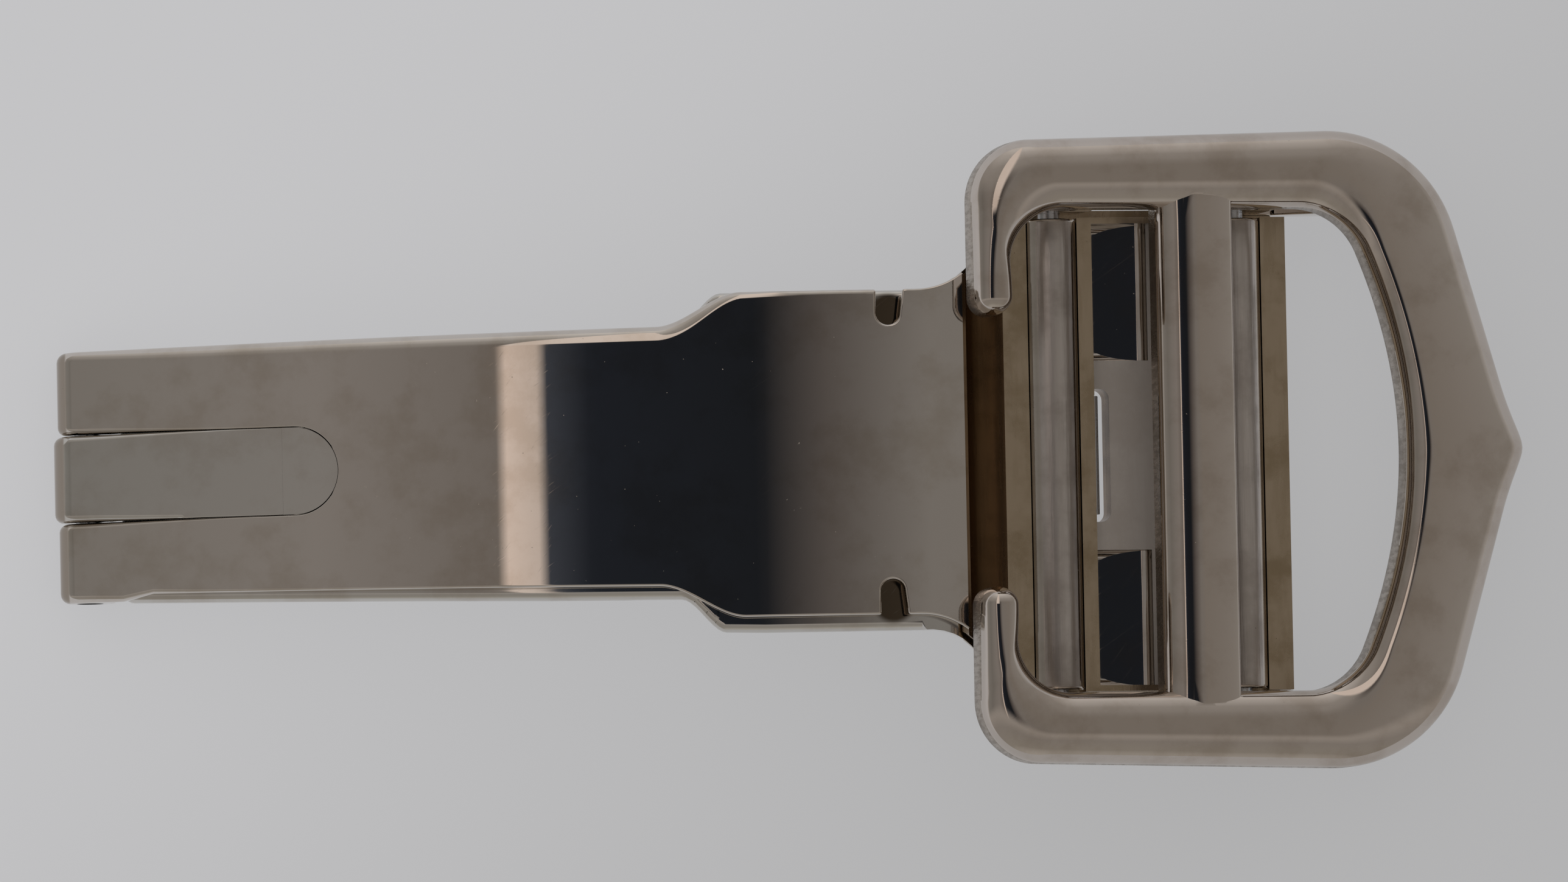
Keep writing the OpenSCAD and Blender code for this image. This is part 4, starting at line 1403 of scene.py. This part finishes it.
    def build(self, dresser: Dresser) -> None:
        """Builds the frame and its ears."""
        upper = self.stations()
        sections = [self.section(station, 1.0) for station in reversed(upper)]
        sections += [self.section(station, -1.0) for station in upper[1:]]
        piece = Workbench.swept("dressed_buckle_frame", sections)
        Workbench.combine(piece, self.cross_bar(), "UNION")
        Workbench.smooth(piece, self.smooth_deg)
        dresser.paint(piece, ("frame_steel", "cut_shaded_wall_steel"), self.finish_of)
        dresser.settle(piece, "buckle_frame", "buckle")
        dresser.soft_copies(("front_ear_left", "front_ear_right", "rear_ear_left",
                             "rear_ear_right"), "buckle", "polished_steel", self.ear_edge)


ALONG_STOPS = (
    (-90, (0.44, 0.42, 0.40)), (-84, (0.25, 0.24, 0.225)), (-62, (0.21, 0.20, 0.185)),
    (-42, (0.25, 0.235, 0.22)), (-28, (0.27, 0.25, 0.235)), (-15.0, (0.20, 0.18, 0.165)),
    (-14.85, (0.82, 0.69, 0.61)), (-12.55, (0.66, 0.57, 0.51)), (-12.1, (0.055, 0.062, 0.078)),
    (-9, (0.017, 0.020, 0.027)), (2.6, (0.014, 0.016, 0.020)), (7, (0.11, 0.098, 0.092)),
    (14, (0.235, 0.22, 0.205)), (30, (0.25, 0.228, 0.205)), (50, (0.28, 0.26, 0.24)),
    (80, (0.31, 0.295, 0.275)), (90, (0.45, 0.44, 0.43)))
ACROSS_STOPS = (
    (-1, (0.44, 0.42, 0.39)), (-0.9, (0.31, 0.29, 0.26)), (-0.6, (0.29, 0.27, 0.25)),
    (-0.3, (0.42, 0.39, 0.36)), (0, (0.27, 0.25, 0.23)), (0.5, (0.30, 0.28, 0.26)),
    (0.75, (0.35, 0.33, 0.31)), (0.93, (0.52, 0.50, 0.48)), (1, (0.68, 0.66, 0.64)))


@dataclass
class Studio:
    """The pale floor, the light and the camera over the clasp."""

    camera_distance: float = 780.0
    tilt_deg: float = 3.0
    lean_deg: float = 0.75
    roll_deg: float = 1.15
    target: Triple = (-0.05, 0.58, 6.2)
    photo_span: float = 52.8
    sensor: float = 36.0
    clip: Pair = (0.01, 10.0)
    floor_half: float = 400.0
    floor_cells: int = 8
    floor_tone: Tone = (0.550, 0.550, 0.562)
    floor_dark: Tone = (0.452, 0.452, 0.458)
    floor_rough: float = 0.9
    floor_shine: float = 0.1
    floor_glow: float = 0.85
    shade: Pair = (-30.0, 34.0)
    upper_y: Pair = (0.30, 0.62)
    lower_y: Pair = (-0.25, -0.45)
    window_left: Pair = (-15.6, -15.0)
    window_right: Pair = (6.0, 0.0)
    window_y: Pair = (0.16, 0.24)
    window_tone: Tone = (0.80, 0.71, 0.65)
    daylight: float = 2.3
    daylight_spread_deg: float = 120.0
    daylight_turn_deg: Triple = (-8.0, -6.0, 0.0)
    daylight_place: Triple = (0.0, 0.0, 0.3)

    def build(self) -> None:
        """Builds the floor, the world's light and the camera."""
        self.floor()
        self.reflections()
        self.sun()
        self.camera()
        bpy.context.scene.view_settings.view_transform = "Standard"

    def floor(self) -> None:
        """Lays the floor: its own light, seen by the camera and the steel, keeps it pale."""
        floor = Workbench.add("studio_floor", bpy.ops.mesh.primitive_grid_add,
                              x_subdivisions=self.floor_cells, y_subdivisions=self.floor_cells,
                              size=2 * self.floor_half * MM)
        material = bpy.data.materials.new("pale_floor")
        paper = NodePaper(material)
        place = paper.split(paper.add("TexCoord").outputs["Object"])
        # Painted light: the floor is paler towards the top-left corner and darker towards the
        # bottom-right.
        corner = paper.math("SUBTRACT", place["Y"], place["X"])
        colour = paper.mix(paper.remap(corner, *(end * MM for end in self.shade)),
                           self.floor_dark, self.floor_tone)
        shader = paper.add("BsdfPrincipled", {"Base Color": colour, "Roughness": self.floor_rough,
                                              "Specular IOR Level": self.floor_shine})
        glow = paper.add("Emission", {"Color": colour})
        rays = paper.add("LightPath").outputs
        seen = paper.math("MAXIMUM", rays["Is Camera Ray"], rays["Is Glossy Ray"])
        both = paper.add("MixShader", {"Fac": paper.math("MULTIPLY", seen, self.floor_glow),
                                       1: shader.outputs["BSDF"], 2: glow.outputs["Emission"]})
        paper.add("OutputMaterial", {"Surface": both.outputs["Shader"]})
        floor.data.materials.append(material)

    def reflections(self) -> None:
        """Fills the world with the stripes and the window that the steel reflects."""
        world = bpy.data.worlds.new("studio")
        bpy.context.scene.world = world
        paper = NodePaper(world)
        place = paper.split(paper.add("TexCoord").outputs["Generated"])
        lean = paper.math("ARCTAN2", place["X"], place["Z"])
        angle = paper.math("MULTIPLY", lean, 180 / pi)
        sideways = paper.math("MAXIMUM", paper.remap(place["Y"], *self.upper_y),
                              paper.remap(place["Y"], *self.lower_y))
        stripes = paper.mix(sideways, paper.ramp(angle, ALONG_STOPS),
                            paper.ramp(place["Y"], ACROSS_STOPS))
        window = paper.math("MULTIPLY", paper.remap(angle, *self.window_left),
                            paper.remap(angle, *self.window_right))
        window = paper.math("MULTIPLY", window, paper.remap(place["Y"], *self.window_y))
        steel = paper.add("Background", {"Color": paper.mix(window, stripes, self.window_tone)})
        paper.add("OutputWorld", {"Surface": steel.outputs["Background"]})

    def sun(self) -> None:
        """Adds a soft daylight for the floor, which the steel doesn't reflect."""
        lamp = bpy.data.lights.new("soft_daylight", "SUN")
        lamp.energy = self.daylight
        lamp.angle = radians(self.daylight_spread_deg)
        sky = bpy.data.objects.new("soft_daylight", lamp)
        sky.location = self.daylight_place
        sky.rotation_euler = [radians(turn) for turn in self.daylight_turn_deg]
        sky.visible_glossy = False
        bpy.context.scene.collection.objects.link(sky)

    def camera(self) -> None:
        """Places the camera over the clasp, as the photograph was taken."""
        data = bpy.data.cameras.new("camera")
        camera = bpy.data.objects.new("camera", data)
        bpy.context.scene.collection.objects.link(camera)
        bpy.context.scene.camera = camera
        data.sensor_width = self.sensor
        data.lens = data.sensor_width * self.camera_distance / self.photo_span
        data.clip_start, data.clip_end = self.clip
        turn = Euler([radians(v) for v in (self.tilt_deg, self.lean_deg, -self.roll_deg)])
        back = turn.to_matrix() @ Vector((0, 0, 1))
        camera.location = (Vector(self.target) + back * self.camera_distance) * MM
        camera.rotation_euler = turn


def main() -> None:
    """Builds every piece in order."""
    logging.basicConfig(level=logging.INFO)
    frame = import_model()
    dresser = Dresser(frame["nodes"], {finish.name: finish.build() for finish in STEELS})
    for part in (Blades(), Saddle(), SpringBars(), BuckleFrame()):
        part.build(dresser)
        log.info("%s done", type(part).__name__)
    Studio().build()


if __name__ == "__main__":
    main()
